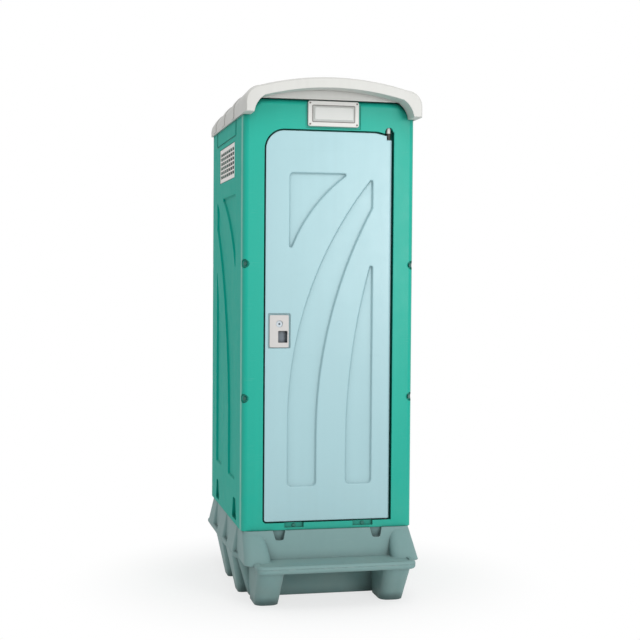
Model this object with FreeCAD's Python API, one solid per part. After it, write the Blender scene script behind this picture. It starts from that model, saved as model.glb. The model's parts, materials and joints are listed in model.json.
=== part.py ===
"""Portable toilet cabin: moulded tank base with a step, four double-skinned walls, an arched roof
with a front visor, a full-height door on pivot hinges, and the fittings inside.

Units are millimetres. The origin is on the ground in the middle of the footprint. Z is up, the
door faces -Y and +X is to the right of someone who stands in front of the door.
"""
import FreeCAD, Part
import math
import os

V = FreeCAD.Vector
X_AXIS = V(1, 0, 0)
Y_AXIS = V(0, 1, 0)
Z_AXIS = V(0, 0, 1)

# Cabin box
wall_width = 860.0
wall_depth = 1085.0
wall_thick = 40.0
frame_thick = 60.0
corner_round = 28.0
skin = 3.5
wall_rim = 12.0
relief_depth = 10.0
relief_slope = 9.0
relief_soft = 1.6
relief_corner = 24.0
relief_tip = 11.0
back_post = 60.0
back_panel_middle = 190.0
back_panel_half = 130.0
back_panel_foot = 130.0
back_panel_head = 200.0
back_panel_round = 60.0
relief_left = -204.0
relief_low = 210.0
side_relief_start = 235.0
side_relief_stretch = 1.55
side_relief_low = 215.0
side_relief_squeeze = 0.935
wall_height = 2050.0
front_top_rise = 61.0
front_top_half = 352.0
front_shoulder_drop = 2.0

# Tank base
base_height = 350.0
tread_height = 224.0
tread_edge_round = 12.0
tread_dish = 4.0
tread_rim = 24.0
tread_dish_round = 40.0
parting_height = 209.0
lip_under = 11.0
lip_edge_round = 9.0
bead_under = 23.0
bead_width = 26.0
bead_round = 14.0
lip_out = 30.0
lip_round = 60.0
lip_flare = 5.0
lip_flare_start = 30.0
lip_flare_end = 140.0
lip_flare_round = 20.0
tank_mouth_side = 40.0
tank_mouth_front = 20.0
tank_mouth_round = 40.0
step_reach = 250.0
step_half = 392.0
step_round = 45.0
tank_wall = 6.0
ground_half = 398.0
ground_back = 790.0
kick_depth = 100.0
hull_half = 432.0
hull_top_half = 420.0
lug_half = 452.0
leg_inner = 255.0
leg_outer_ground = 372.0
leg_front_ground = -80.0
leg_back_ground = 120.0
leg_flare_inner = 10.0
leg_lip_gap = 12.0
leg_front_gap = 14.0
leg_back_flare = 60.0
leg_ground_round = 42.0
leg_top_round = 55.0
hull_ground_in = 30.0
hull_ground_lift = 4.0
hull_front_lean = 12.0
hull_round = 40.0
hull_top_round = 34.0
rear_bulge = 6.0
rear_lean = 8.0
lug_places = [270.0, 620.0]
lug_top_length = 250.0
lug_ground_length = 120.0
lug_ground_out = 12.0
lug_root = 90.0
lug_ground_round = 20.0
lug_top_round = 30.0
lug_head_in = 20.0
lug_head_round = 25.0
lug_head_proud = 2.0
rear_lug_place = 965.0
rear_lug_length = 210.0
riser_top = 12.0
riser_bottom = 60.0
block_inner = 300.0
block_front = 160.0
block_proud = 2.0
block_lean_inner = 16.0
block_front_top = 2.0
block_depth = 90.0
block_low_round = 50.0
block_high_round = 38.0
notch_place = 245.0
notch_width = 62.0
notch_height = 45.0
notch_foot_share = 0.62
notch_round = 12.0
notch_depth = 70.0
notch_liner_gap = 6.0
stack_hole_in = 8.0

# Floor inside the cabin
floor_thick = 12.0
floor_rib_height = 3.0
floor_rib_width = 8.0
floor_rib_pitch = 40.0
floor_margin = 1.0

# Roof
roof_half = 440.0
roof_skirt = 21.0
roof_rise = 158.0
roof_fall = 30.0
roof_shoulder_drop = 50.0
roof_shoulder_half = 368.0
roof_corner_drop = 75.0
roof_skin = 9.5
visor_reach = 110.0
visor_band = 52.0
ear_half = 396.0
ear_bend_half = 377.0
ear_neck_half = 342.0
ear_bend_drop = 33.0
ear_below = 7.0
fascia_proud = 4.0
roof_lap = 16.0
roof_rib_places = [240.0, 560.0, 880.0]
roof_rib_width = 90.0
roof_rib_height = 3.0
wall_gap = 0.3

# Door and its frame
door_half = 318.0
door_sill = 43.0
door_header = 93.0
door_thick = 36.0
door_gap = 8.0
door_corner = 92.0
door_foot_corner = 12.0
door_rim = 22.0
latch_clear = 40.0
stop_lap = 12.0
stop_gap = 2.0
pin_radius = 6.0
pin_fit = 0.06
pin_engage = 70.0
bush_radius = 11.0
bush_height = 34.0
collar_radius = 10.5
collar_height = 27.0
hinge_room = 28.0
hinge_notch_round = 21.0
door_cut_width = 87.0
washer_gap = 0.6
bumper_rises = [350.0, 830.0, 1550.0]
bumper_half_height = 15.0
bumper_half_width = 4.0

# Latch on the door
latch_inset = 22.0
latch_width = 95.0
latch_height = 158.0
latch_rise = 899.0
latch_thick = 4.0
latch_recess = 5.0
latch_margin = 8.0
latch_corner = 6.0
dial_from_side = 49.0
dial_from_top = 43.0
dial_radius = 18.0
dial_thick = 3.0
grip_from_side = 43.0
grip_width = 46.0
grip_from_bottom = 23.0
grip_height = 58.0
grip_depth = 24.0
grip_wall = 2.0
spindle_radius = 4.0
lock_inset = 18.0
lock_width = 95.0
lock_height = 87.0
lock_under_dial = 39.0
lock_depth = 42.0
bolt_over_dial = 29.0
bolt_height = 14.0
bolt_thick = 10.0
bolt_length = 78.0
bolt_fit = 0.3
bolt_from_door = 26.5
knob_radius = 17.0
knob_height = 8.0
knob_tab = 13.0
strike_thick = 1.5
pull_inset = 56.0
pull_rise = 770.0
pull_length = 160.0
pull_reach = 42.0
pull_radius = 7.0
pull_foot = 14.0

# Lamp over the door
lamp_x = 15.0
lamp_width = 256.0
lamp_over_door = 24.0
lamp_height = 124.0
lamp_frame_thick = 12.0
lamp_border = 21.0
lamp_lens_rise = 9.0
lamp_lens_thick = 4.0
lamp_pocket_depth = 26.0
lamp_board_thick = 2.0
lamp_screw_radius = 4.0
lamp_plinth = 10.0
lamp_plinth_depth = 3.0

# Bolts at the corners and at the sill
bolt_rises = [650.0, 1307.0]
pocket_radius = 22.0
pocket_depth = 24.0
pocket_clear = 34.0
jamb_foot = 62.0
jamb_head = 30.0
head_radius = 10.0
head_height = 7.0
shank_radius = 5.0
shank_length = 26.0
sill_slots = [(-216.0, -120.0), (129.0, 231.0)]
sill_slot_rise = 12.0
sill_slot_depth = 14.0

# Vents and marks of the side walls
vent_front = 285.0
vent_back = 790.0
vent_height = 176.0
vent_drop = 127.0
vent_recess = 6.0
vent_recess_edge = 3.0
vent_border = 20.0
vent_rows = 6
vent_columns = 7
vent_bar = 7.0
vent_thick = 5.0
channel_places = [238.0, 895.0]
channel_width = 22.0
channel_drop = 95.0
channel_depth = 7.0
channel_line = 8.0
foot_notches = [(171.0, 307.0), (777.0, 899.0)]
foot_notch_rise = 20.0
foot_notch_height = 107.0
foot_notch_depth = 16.0
foot_notch_slope = 30.0

# Bowl, seat and lid
bowl_y = 640.0
bowl_half_width = 178.0
bowl_half_length = 225.0
bowl_rim_rise = 392.0
bowl_wall = 6.0
bowl_rim_deep = 60.0
bowl_rim_edge = 30.0
mouth_half_width = 130.0
mouth_half_length = 172.0
bowl_deck_half = 120.0
oval_end_share = 0.8
bowl_foot_half_width = 120.0
bowl_foot_half_length = 190.0
throat_radius = 58.0
throat_wall = 6.0
tube_fit = 0.05
collar_deep = 22.0
throat_drop = 18.0
throat_rise = 210.0
deck_hole_gap = 2.0
seat_half_width = 185.0
seat_half_length = 232.0
seat_hole_half_width = 112.0
seat_hole_half_length = 150.0
seat_thick = 20.0
seat_bumper = 8.0
seat_rest_gap = 0.3
seat_hinge_back = 252.0
seat_pin_radius = 6.0
seat_pin_length = 200.0
seat_pin_rise = 22.0
seat_lug_width = 22.0
lid_thick = 12.0
lid_open_angle = 96.0
seat_lug_x = 62.0
lid_lug_x = 32.0
hinge_block_x = 88.0
hinge_block_width = 24.0

# Flap under the bowl and the pedal that opens it
flap_thick = 5.0
flap_pin_radius = 3.0
flap_lug_width = 12.0
flap_hub_radius = 6.0
flap_hub_gap = 1.0
flap_bridge_thick = 5.0
pedal_x = 262.0
pedal_y = 600.0
pedal_rise = 70.0
pedal_pin_radius = 6.0
pedal_length = 190.0
pedal_width = 62.0
pedal_thick = 10.0
pedal_cheek = 6.0
pedal_cheek_gap = 2.0

# Water tank over the bowl and its pipe
water_half = 185.0
water_front = 965.0
water_rise = 610.0
water_height = 340.0
water_round = 6.0
water_wall = 4.0
neck_wall = 4.0
cap_radius = 34.0
cap_height = 18.0
neck_radius = 27.0
neck_height = 14.0
screw_fit = 0.1
pipe_radius = 16.0
pipe_bend = 60.0

# Paper holder on the left wall
paper_y = 560.0
paper_rise = 662.0
paper_wall_reach = 65.0
paper_radius = 52.0
paper_bore = 20.0
paper_fit = 0.05
paper_length = 112.0
paper_side_gap = 3.0
cheek_thick = 4.0
cover_inner = 57.0
cover_thick = 2.5
cover_pin_radius = 2.5
cover_hub_radius = 5.0
cover_hinge_angle = 130.0
cover_front_angle = 12.0
paper_plate = 6.0

# Vent stack, shelf, hook and suction port
stack_x = 330.0
stack_y = 985.0
stack_radius = 38.0
stack_wall = 3.0
stack_over_wall = 155.0
stack_fit = 1.0
stack_cap_radius = 56.0
stack_cap_height = 36.0
stack_cap_lift = 18.0
clip_rises = [550.0, 1450.0]
clip_height = 24.0
clip_thick = 4.0
shelf_rise = 960.0
shelf_reach = 150.0
shelf_thick = 10.0
shelf_rim = 14.0
hook_y = 330.0
hook_rise = 1500.0
hook_reach = 45.0
suction_x = -250.0
suction_drop = 65.0
suction_bore = 36.0
suction_neck = 42.0
suction_flange = 58.0
suction_cap = 50.0
suction_cap_length = 14.0
suction_neck_length = 14.0
suction_boss = 62.0
suction_boss_face = 8.0
suction_boss_depth = 16.0

# Places that follow from the sizes above
front_y = (step_reach - wall_depth - lip_out) / 2
back_y = front_y + wall_depth
inner_front = front_y + frame_thick
inner_back = back_y - wall_thick
inner_half = wall_width / 2 - wall_thick
door_back = front_y + door_thick
wall_top = base_height + wall_height
front_top = wall_top + front_top_rise
front_shoulder = wall_top - front_shoulder_drop
roof_edge = wall_top - roof_skirt
roof_crown = wall_top + roof_rise
door_left = -door_half
door_right = door_half
door_bottom = base_height + door_sill
door_top = wall_top - door_header
hinge_shelf = door_top + hinge_room
door_cut_drop = bush_height + collar_height + wall_gap - hinge_room
washer_height = door_gap - washer_gap
latch_left = door_left + latch_inset
latch_right = latch_left + latch_width
latch_bottom = base_height + latch_rise
latch_top = latch_bottom + latch_height
dial_x = latch_left + dial_from_side
dial_z = latch_top - dial_from_top
grip_left = latch_left + grip_from_side
grip_right = grip_left + grip_width
grip_bottom = latch_bottom + grip_from_bottom
grip_top = grip_bottom + grip_height
lock_left = door_left + lock_inset
lock_right = lock_left + lock_width
lock_bottom = dial_z - lock_under_dial
lock_top = lock_bottom + lock_height
bolt_z = dial_z + bolt_over_dial
pull_x = door_left + pull_inset
pull_bottom = base_height + pull_rise
pull_top = pull_bottom + pull_length
lamp_bottom = door_top + lamp_over_door
lamp_top = lamp_bottom + lamp_height
bolt_heights = [base_height + rise for rise in bolt_rises]
sill_slot_bottom = base_height + sill_slot_rise
vent_top = wall_top - vent_drop
vent_bottom = vent_top - vent_height
channel_bottom = wall_top - channel_drop
foot_notch_bottom = base_height + foot_notch_rise
foot_notch_top = foot_notch_bottom + foot_notch_height
bowl_rim = base_height + bowl_rim_rise
throat_bottom = base_height - throat_drop
throat_top = base_height + throat_rise
water_bottom = base_height + water_rise
water_top = water_bottom + water_height
paper_z = base_height + paper_rise
stack_top = wall_top + stack_over_wall
clip_heights = [base_height + rise for rise in clip_rises]
shelf_z = base_height + shelf_rise
hook_z = base_height + hook_rise
suction_z = base_height - suction_drop
hinge_x = door_right - door_thick / 2
hinge_y = front_y + door_thick / 2
stop_y = door_back + stop_gap
floor_top = base_height + floor_thick
bowl_centre_y = front_y + bowl_y
seat_hinge_y = bowl_centre_y + seat_hinge_back
seat_hinge_z = bowl_rim + seat_pin_rise
seat_bottom = bowl_rim + seat_bumper + seat_rest_gap
lock_inner = door_back + lock_depth
bolt_y = door_back + bolt_from_door
paper_x = paper_wall_reach - inner_half
paper_centre_y = front_y + paper_y


def box(x0, x1, y0, y1, z0, z1):
    """Straight block between two opposite corners."""
    return Part.makeBox(x1 - x0, y1 - y0, z1 - z0, V(x0, y0, z0))


def rod(start, direction, radius, length):
    """Round bar from its start point along a direction."""
    return Part.makeCylinder(radius, length, start, direction)


def join(shapes):
    """One solid out of several that touch or cross."""
    whole = shapes[0].multiFuse(shapes[1:]) if len(shapes) > 1 else shapes[0]
    return whole.removeSplitter()


def across(y):
    """Maps (x, z) of an outline to the upright plane at depth y."""
    return lambda u, v: V(u, y, v)


def flat(z):
    """Maps (x, y) of an outline to the level plane at height z."""
    return lambda u, v: V(u, v, z)


def outline(corners, place):
    """Closed wire through (u, v, radius) corners, each corner rounded by its own radius."""
    count = len(corners)
    turns = []
    for index in range(count):
        u, v, radius = corners[index]
        before = corners[index - 1]
        after = corners[(index + 1) % count]
        here = V(u, v, 0)
        back = V(before[0] - u, before[1] - v, 0).normalize()
        ahead = V(after[0] - u, after[1] - v, 0).normalize()
        half = back.getAngle(ahead) / 2
        middle = (back + ahead).normalize() if radius > 0 else back
        reach = radius / math.tan(half)
        start = here + back * reach
        end = here + ahead * reach
        crest = here + middle * (radius / math.sin(half) - radius)
        turns.append((start, crest, end, radius))
    edges = []
    for index in range(count):
        start, crest, end, radius = turns[index]
        following = turns[(index + 1) % count][0]
        if radius > 0:
            bend = Part.Arc(place(start.x, start.y), place(crest.x, crest.y), place(end.x, end.y))
            edges.append(bend.toShape())
        if (following - end).Length > 1e-6:
            edges.append(Part.makeLine(place(end.x, end.y), place(following.x, following.y)))
    return Part.Wire(edges)


def rounded_box_outline(u0, u1, v0, v1, radius, place):
    """Wire of a rectangle with four equal round corners."""
    corners = [(u0, v0, radius), (u1, v0, radius), (u1, v1, radius), (u0, v1, radius)]
    return outline(corners, place)


def tapered(lower, upper, z_lower, z_upper, radius_lower, radius_upper):
    """Block whose level section changes from one rounded rectangle to another."""
    first = rounded_box_outline(*lower, radius_lower, flat(z_lower))
    last = rounded_box_outline(*upper, radius_upper, flat(z_upper))
    return Part.makeLoft([first, last], True, True)


def plate(wire, thickness_vector):
    """Solid swept straight from a closed flat wire."""
    return Part.Face(wire).extrude(thickness_vector)


def mirrored(shape):
    """The same shape on the other side of the middle plane."""
    return shape.mirror(V(0, 0, 0), X_AXIS)


def level_edges(shape, z):
    """Edges of a shape that lie in one level plane."""
    return [edge for edge in shape.Edges
            if abs(edge.BoundBox.ZMin - z) < 0.01 and abs(edge.BoundBox.ZMax - z) < 0.01]


def upright_edges(shape, x, y):
    """Vertical edges of a shape that stand at one place in plan."""
    found = []
    for edge in shape.Edges:
        middle = edge.BoundBox.Center
        tall = edge.BoundBox.ZLength > 1 and edge.BoundBox.XLength + edge.BoundBox.YLength < 0.01
        if tall and abs(middle.x - x) < 0.01 and abs(middle.y - y) < 0.01:
            found.append(edge)
    return found


# Tank base

def lower_legs(inset):
    """Two legs under the step: broad at the step, small at the ground, sloped at the front."""
    deep = parting_height
    top = (leg_inner - leg_flare_inner + inset, step_half - leg_lip_gap - inset)
    top += (front_y - step_reach + leg_front_gap + inset, front_y + leg_back_ground + leg_back_flare)
    ground = (leg_inner + inset, leg_outer_ground - inset)
    ground += (front_y + leg_front_ground + inset, front_y + leg_back_ground - inset)
    right = tapered(ground, top, inset, deep, leg_ground_round - inset, leg_top_round - inset)
    return [right, mirrored(right)]


def lower_lugs(inset):
    """Upright feet along both sides of the lower tank, which carry it on the ground."""
    shapes = []
    for place in lug_places:
        middle = front_y + place
        top_half = lug_top_length / 2 - inset
        ground_reach = lug_ground_length / 2 - inset
        top = (hull_half - lug_root, lug_half - inset, middle - top_half, middle + top_half)
        ground = (ground_half - lug_root, ground_half + lug_ground_out - inset)
        ground += (middle - ground_reach, middle + ground_reach)
        right = tapered(ground, top, inset, parting_height,
                        lug_ground_round - inset, lug_top_round - inset)
        shapes += [right, mirrored(right)]
    return shapes


def lower_body(inset):
    """Outside of the lower tank for inset 0, its inside for a larger inset."""
    half_ground = ground_half - hull_ground_in - inset
    ground = (-half_ground, half_ground, front_y + kick_depth + inset, front_y + ground_back - inset)
    half_top = hull_half - inset
    top = (-half_top, half_top, front_y + kick_depth - hull_front_lean + inset,
           back_y + rear_bulge - inset)
    hull = tapered(ground, top, inset + hull_ground_lift, parting_height,
                   hull_round - inset, hull_round - inset)
    return join([hull] + lower_legs(inset) + lower_lugs(inset))


def lip_outline(z):
    """Outline of the lip where the two tank shells meet, with the narrower step in front."""
    side = lug_half
    front = front_y - step_reach
    corners = [
        (-step_half, front, step_round),
        (step_half, front, step_round),
        (step_half + lip_flare, front_y - lip_flare_start, lip_flare_round),
        (side, front_y + lip_flare_end, lip_round),
        (side, back_y + lip_out, lip_round),
        (-side, back_y + lip_out, lip_round),
        (-side, front_y + lip_flare_end, lip_round),
        (-step_half - lip_flare, front_y - lip_flare_start, lip_flare_round),
    ]
    return outline(corners, flat(z))


def lower_lip(depth, radius):
    """Lip under the parting line, with its lower edge rounded all round."""
    slab = plate(lip_outline(parting_height - depth), V(0, 0, depth))
    return slab.makeFillet(radius, level_edges(slab, parting_height - depth))


def step_bead():
    """Thick rolled bead along the front of the step, a deeper stretch of the lip."""
    front = front_y - step_reach
    return lower_lip(bead_under, bead_round).common(
        box(-step_half, step_half, front, front + bead_width, parting_height - bead_under, parting_height))


def tank_lower():
    """Lower shell: tray with legs and feet, a bead under the step and a sloped rear."""
    shell = join([lower_body(0), lower_lip(lip_under, lip_edge_round), step_bead()])
    inside = lower_body(tank_wall)
    half = hull_half - tank_mouth_side
    mouth = rounded_box_outline(-half, half, front_y + kick_depth + tank_mouth_front,
                                back_y - tank_mouth_side, tank_mouth_round,
                                flat(parting_height - 2 * lip_under))
    return shell.cut(inside).cut(plate(mouth, V(0, 0, 2 * lip_under)))


def upper_lugs(inset):
    """Ribs down both sides of the upper tank, in line with the feet below."""
    shapes = []
    spans = [(place, lug_top_length) for place in lug_places]
    spans.append((rear_lug_place, rear_lug_length))
    for place, length in spans:
        middle = front_y + place
        low = (hull_half - lug_root, lug_half - inset)
        low += (middle - length / 2 + inset, middle + length / 2 - inset)
        high = (hull_half - lug_root, hull_top_half + lug_head_proud - inset)
        high += (middle - length / 2 + lug_head_in + inset, middle + length / 2 - lug_head_in - inset)
        right = tapered(low, high, parting_height, base_height - inset,
                        lug_top_round - inset, lug_head_round - inset)
        shapes += [right, mirrored(right)]
    return shapes


def corner_blocks(inset):
    """Sloped blocks at both ends of the step, under the front corners of the cabin."""
    low = (block_inner + inset, hull_half + block_proud - inset)
    low += (front_y - block_front + inset, front_y + block_depth - inset)
    high = (block_inner + block_lean_inner + inset, hull_top_half + block_proud - inset)
    high += (front_y - block_front_top + inset, front_y + block_depth - inset)
    right = tapered(low, high, parting_height, base_height - inset,
                    block_low_round - inset, block_high_round - inset)
    return [right, mirrored(right)]


def upper_body(inset):
    """Outside of the upper tank for inset 0, its inside for a larger inset."""
    low_half = hull_half - inset
    low = (-low_half, low_half, front_y - riser_bottom + inset, back_y + rear_bulge - inset)
    high_half = hull_top_half - inset
    high = (-high_half, high_half, front_y - riser_top + inset, back_y - rear_lean - inset)
    hull = tapered(low, high, parting_height, base_height - inset,
                   hull_round - inset, hull_top_round - inset)
    return join([hull] + upper_lugs(inset) + corner_blocks(inset))


def tread_hollow():
    """Shallow dish in the top of the step, inside its rim."""
    half = step_half - tread_rim
    front = front_y - step_reach + tread_rim
    wire = rounded_box_outline(-half, half, front, front_y, tread_dish_round, flat(tread_height - tread_dish))
    return plate(wire, V(0, 0, tread_dish + 1))


def riser_notches():
    """Two round-bottomed pockets at the top of the riser."""
    shapes = []
    for side in (-1, 1):
        middle = side * notch_place
        half = notch_width / 2
        corners = [
            (middle - half, base_height + 1, 0),
            (middle - half * notch_foot_share, base_height - notch_height, notch_round),
            (middle + half * notch_foot_share, base_height - notch_height, notch_round),
            (middle + half, base_height + 1, 0),
        ]
        shapes.append(plate(outline(corners, across(front_y - riser_bottom - 5)),
                            Y_AXIS * notch_depth))
    return shapes


def tank_upper():
    """Upper shell: deck with the drop hole, riser with notches, corner blocks and the tread."""
    tread = plate(lip_outline(parting_height), V(0, 0, tread_height - parting_height))
    tread = tread.makeFillet(tread_edge_round, level_edges(tread, tread_height))
    shell = join([upper_body(0), tread.cut(tread_hollow())])
    inside = upper_body(tank_wall)
    shell = shell.cut(inside)
    for notch in riser_notches():
        liner_box = notch.BoundBox
        liner = box(liner_box.XMin - tank_wall, liner_box.XMax + tank_wall,
                    front_y - riser_top + notch_liner_gap, liner_box.YMax + tank_wall,
                    liner_box.ZMin - tank_wall, base_height)
        shell = join([shell, liner]).cut(notch)
    boss_start = back_y + suction_boss_face - suction_boss_depth
    boss = rod(V(suction_x, boss_start, suction_z), Y_AXIS, suction_boss, suction_boss_depth)
    shell = join([shell, boss])
    hole_radius = throat_radius + throat_wall + deck_hole_gap
    hole = rod(V(0, bowl_centre_y, parting_height), Z_AXIS, hole_radius, base_height)
    port = rod(V(suction_x, back_y - 60, suction_z), Y_AXIS, suction_neck + 0.1, 100)
    stack = rod(V(stack_x, front_y + stack_y, parting_height), Z_AXIS,
                stack_radius - stack_hole_in, base_height)
    return shell.cut(hole).cut(port).cut(stack)


def floor_panel():
    """Floor of the cabin with anti-slip ribs, open round the bowl outlet and the vent stack."""
    half = inner_half - floor_margin
    near = inner_front + floor_margin
    far = inner_back - floor_margin
    panel = box(-half, half, near, far, base_height, floor_top)
    hole_radius = throat_radius + throat_wall + deck_hole_gap
    panel = panel.cut(rod(V(0, bowl_centre_y, base_height - 1), Z_AXIS, hole_radius, floor_thick + 2))
    stack_hole = rod(V(stack_x, front_y + stack_y, base_height - 1), Z_AXIS, stack_radius + stack_fit, 30)
    panel = panel.cut(stack_hole)
    ribs = []
    y = near + floor_rib_pitch
    while y < bowl_centre_y - bowl_foot_half_length - floor_rib_pitch:
        ribs.append(box(-half + 40, half - 40, y, y + floor_rib_width, floor_top,
                        floor_top + floor_rib_height))
        y += floor_rib_pitch
    return join([panel] + ribs)


# Walls

def upright_arc(start, end):
    """Arc that leaves its start upright and bends over to its end."""
    run = end - start
    rise = run.z
    aside = run - Z_AXIS * rise
    radius = (aside.Length ** 2 + rise ** 2) / (2 * aside.Length)
    half_angle = math.atan2(rise, radius - aside.Length) / 2
    middle = start + aside * (radius * (1 - math.cos(half_angle)) / aside.Length)
    return Part.Arc(start, middle + Z_AXIS * (radius * math.sin(half_angle)), end).toShape()


def relief_outlines(place):
    """Edges and corner radii of three pressed shapes: a corner sail, a long band and a tail."""
    sail = [
        Part.makeLine(place(-204, 1332), place(-204, 1757)),
        Part.makeLine(place(-204, 1757), place(108, 1757)),
        Part.Arc(place(108, 1757), place(-82, 1573), place(-204, 1332)).toShape(),
    ]
    sail_corners = [(-204, 1332, relief_tip), (-204, 1757, relief_corner), (108, 1757, relief_tip)]
    band = [
        upright_arc(place(-208, 540), place(222, 1748)),
        Part.makeLine(place(-208, 540), place(-208, 210)),
        Part.makeLine(place(-208, 210), place(-57, 210)),
        Part.makeLine(place(-57, 210), place(-57, 470)),
        upright_arc(place(-57, 470), place(222, 1586)),
        Part.makeLine(place(222, 1586), place(222, 1748)),
    ]
    band_corners = [(222, 1748, relief_tip), (-208, 210, relief_corner), (-57, 210, relief_corner),
                    (222, 1586, relief_tip)]
    tail = [
        upright_arc(place(86, 430), place(224, 1372)),
        Part.makeLine(place(86, 430), place(86, 217)),
        Part.makeLine(place(86, 217), place(224, 217)),
        Part.makeLine(place(224, 217), place(224, 1372)),
    ]
    tail_corners = [(224, 1372, relief_tip), (86, 217, relief_corner), (224, 217, relief_corner)]
    return [(sail, sail_corners), (band, band_corners), (tail, tail_corners)]


def joins(edge, one, other):
    """Whether an edge runs between two points."""
    ends = [vertex.Point for vertex in edge.Vertexes]
    return all(min((end - point).Length for end in ends) < 0.01 for point in (one, other))


def relief_mouths(place, inward):
    """Closed wires of the pressed shapes on the wall's face, with their corners rounded."""
    wires = []
    depth = inward * relief_depth
    for edges, corners in relief_outlines(place):
        prism = Part.Face(Part.Wire(edges)).extrude(depth)
        for u, v, radius in corners:
            here = place(u, v)
            prism = prism.makeFillet(radius,
                                     [edge for edge in prism.Edges if joins(edge, here, here + depth)])
        on_face = [face for face in prism.Faces
                   if abs((face.CenterOfMass - place(0, 0)).dot(inward)) < 0.001]
        wires.append(on_face[0].OuterWire)
    return wires


def relief_cutters(place, inward):
    """Cutters for the pressed shapes: a steep slope with a soft edge above and below it."""
    soft_depth = relief_soft * 0.4
    steps = [
        (0.0, 0.0),
        (relief_soft, soft_depth),
        (relief_slope - relief_soft, relief_depth - soft_depth),
        (relief_slope, relief_depth),
    ]
    cutters = []
    for mouth in relief_mouths(place, inward):
        wires = []
        for inset, depth in steps:
            wire = mouth.makeOffset2D(-inset) if inset > 0 else mouth
            wires.append(wire.translated(inward * depth))
        cutters.append(Part.makeLoft(wires, True, True))
    return cutters


def relief_backs(place, inward):
    """Blocks that keep a skin behind each pressed shape inside a hollow wall."""
    blocks = []
    for mouth in relief_mouths(place, inward):
        blocks.append(Part.Face(mouth.makeOffset2D(skin)).extrude(inward * (relief_depth + skin)))
    return blocks


def door_place(y):
    """Relief coordinates on the door: x across, height over the base."""
    return lambda u, v: V(u, y, v + base_height)


def side_place(x):
    """Relief coordinates on a side wall: the door's shapes, stretched to the deeper wall."""
    return lambda u, v: V(x, front_y + side_relief_start + (u - relief_left) * side_relief_stretch,
                          base_height + side_relief_low + (v - relief_low) * side_relief_squeeze)


def corner_pockets():
    """Round pockets and bolt holes cut into the four upright corners, at two heights."""
    shapes = []
    for side_x in (-1, 1):
        for corner_y, side_y in ((front_y, -1), (back_y, 1)):
            inward = V(-side_x, -side_y, 0).normalize()
            tip = V(side_x * wall_width / 2, corner_y, 0)
            for height in bolt_heights:
                start = tip - inward * 20 + Z_AXIS * height
                shapes.append(rod(start, inward, pocket_radius, 20 + pocket_depth))
                deep = start + inward * (20 + pocket_depth)
                shapes.append(rod(deep, inward, shank_radius, shank_length))
    return shapes


def corner_bolts():
    """Eight bolts that draw the walls together, one in each corner pocket."""
    shapes = []
    for side_x in (-1, 1):
        for corner_y, side_y in ((front_y, -1), (back_y, 1)):
            inward = V(-side_x, -side_y, 0).normalize()
            tip = V(side_x * wall_width / 2, corner_y, 0)
            for height in bolt_heights:
                seat = tip + inward * pocket_depth + Z_AXIS * height
                head = rod(seat - inward * head_height, inward, head_radius, head_height)
                shank = rod(seat, inward, shank_radius - 0.05, shank_length - 1)
                shapes.append(head.fuse(shank))
    return Part.makeCompound(shapes)


def door_outline(grow, place):
    """Edge of the door, grown outward or inward: one large round corner, one cut for the hinge."""
    cut = door_cut_width
    drop = door_cut_drop
    corners = [
        (door_left - grow, door_bottom - grow, max(door_foot_corner + grow, 1)),
        (door_right + grow, door_bottom - grow, 1),
        (door_right + grow, door_top - drop, 1),
        (door_right + grow - cut * 0.28, door_top - drop * 0.42 + grow, 30),
        (door_right + grow - cut, door_top + grow, 60),
        (door_left - grow, door_top + grow, door_corner + grow),
    ]
    return outline(corners, place)


def hinge_notch():
    """Room above the door's hinge corner for the pivot pin, its collar and its bush."""
    low = door_top - door_cut_drop - 20
    notch = box(hinge_x - hinge_notch_round, door_right + door_gap, front_y - 1, stop_y,
                low, hinge_shelf - hinge_notch_round)
    crown = rod(V(hinge_x, front_y - 1, hinge_shelf - hinge_notch_round), Y_AXIS,
                hinge_notch_round, stop_y - front_y + 1)
    flat_top = box(hinge_x - bush_radius, hinge_x + bush_radius, front_y - 1, stop_y,
                   hinge_shelf - hinge_notch_round, hinge_shelf)
    return join([notch, crown, flat_top])


def front_wall_outline(grow, place):
    """Front wall seen from the front, with its raised middle under the roof."""
    half = wall_width / 2 + grow
    corners = [
        (-half, base_height, 0),
        (half, base_height, 0),
        (half, front_shoulder + grow, 6),
        (front_top_half + grow, front_top + grow, 12),
        (-front_top_half - grow, front_top + grow, 12),
        (-half, front_shoulder + grow, 6),
    ]
    return outline(corners, place)


def lamp_rectangle(margin, radius, y):
    """Outline around the lamp at depth y."""
    half = lamp_width / 2 + margin
    return rounded_box_outline(lamp_x - half, lamp_x + half, lamp_bottom - margin, lamp_top + margin,
                               radius, across(y))


def lamp_window_half():
    """Half width of the lamp frame's window."""
    return lamp_width / 2 - lamp_border


def jamb_hollows():
    """Sealed hollows in the two uprights of the front wall, between the corner pockets."""
    shapes = []
    levels = [base_height + jamb_foot]
    for height in bolt_heights:
        levels += [height - pocket_clear, height + pocket_clear]
    levels.append(front_shoulder - jamb_head)
    for index in range(0, len(levels), 2):
        room = box(door_right + door_gap + skin, wall_width / 2 - skin, front_y + skin, inner_front - skin,
                   levels[index], levels[index + 1])
        outer_edge = upright_edges(room, wall_width / 2 - skin, front_y + skin)
        room = room.makeFillet(corner_round - skin, outer_edge)
        shapes += [room, mirrored(room)]
    return shapes


def header_hollow():
    """Sealed hollow over the doorway, behind the lamp pocket and left of the hinge pin."""
    near = front_y + lamp_pocket_depth + skin
    return box(-front_top_half + wall_rim, hinge_x - hinge_notch_round - wall_rim, near, inner_front - skin,
               door_top + door_gap + wall_rim, front_top - wall_rim - roof_lap)


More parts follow.
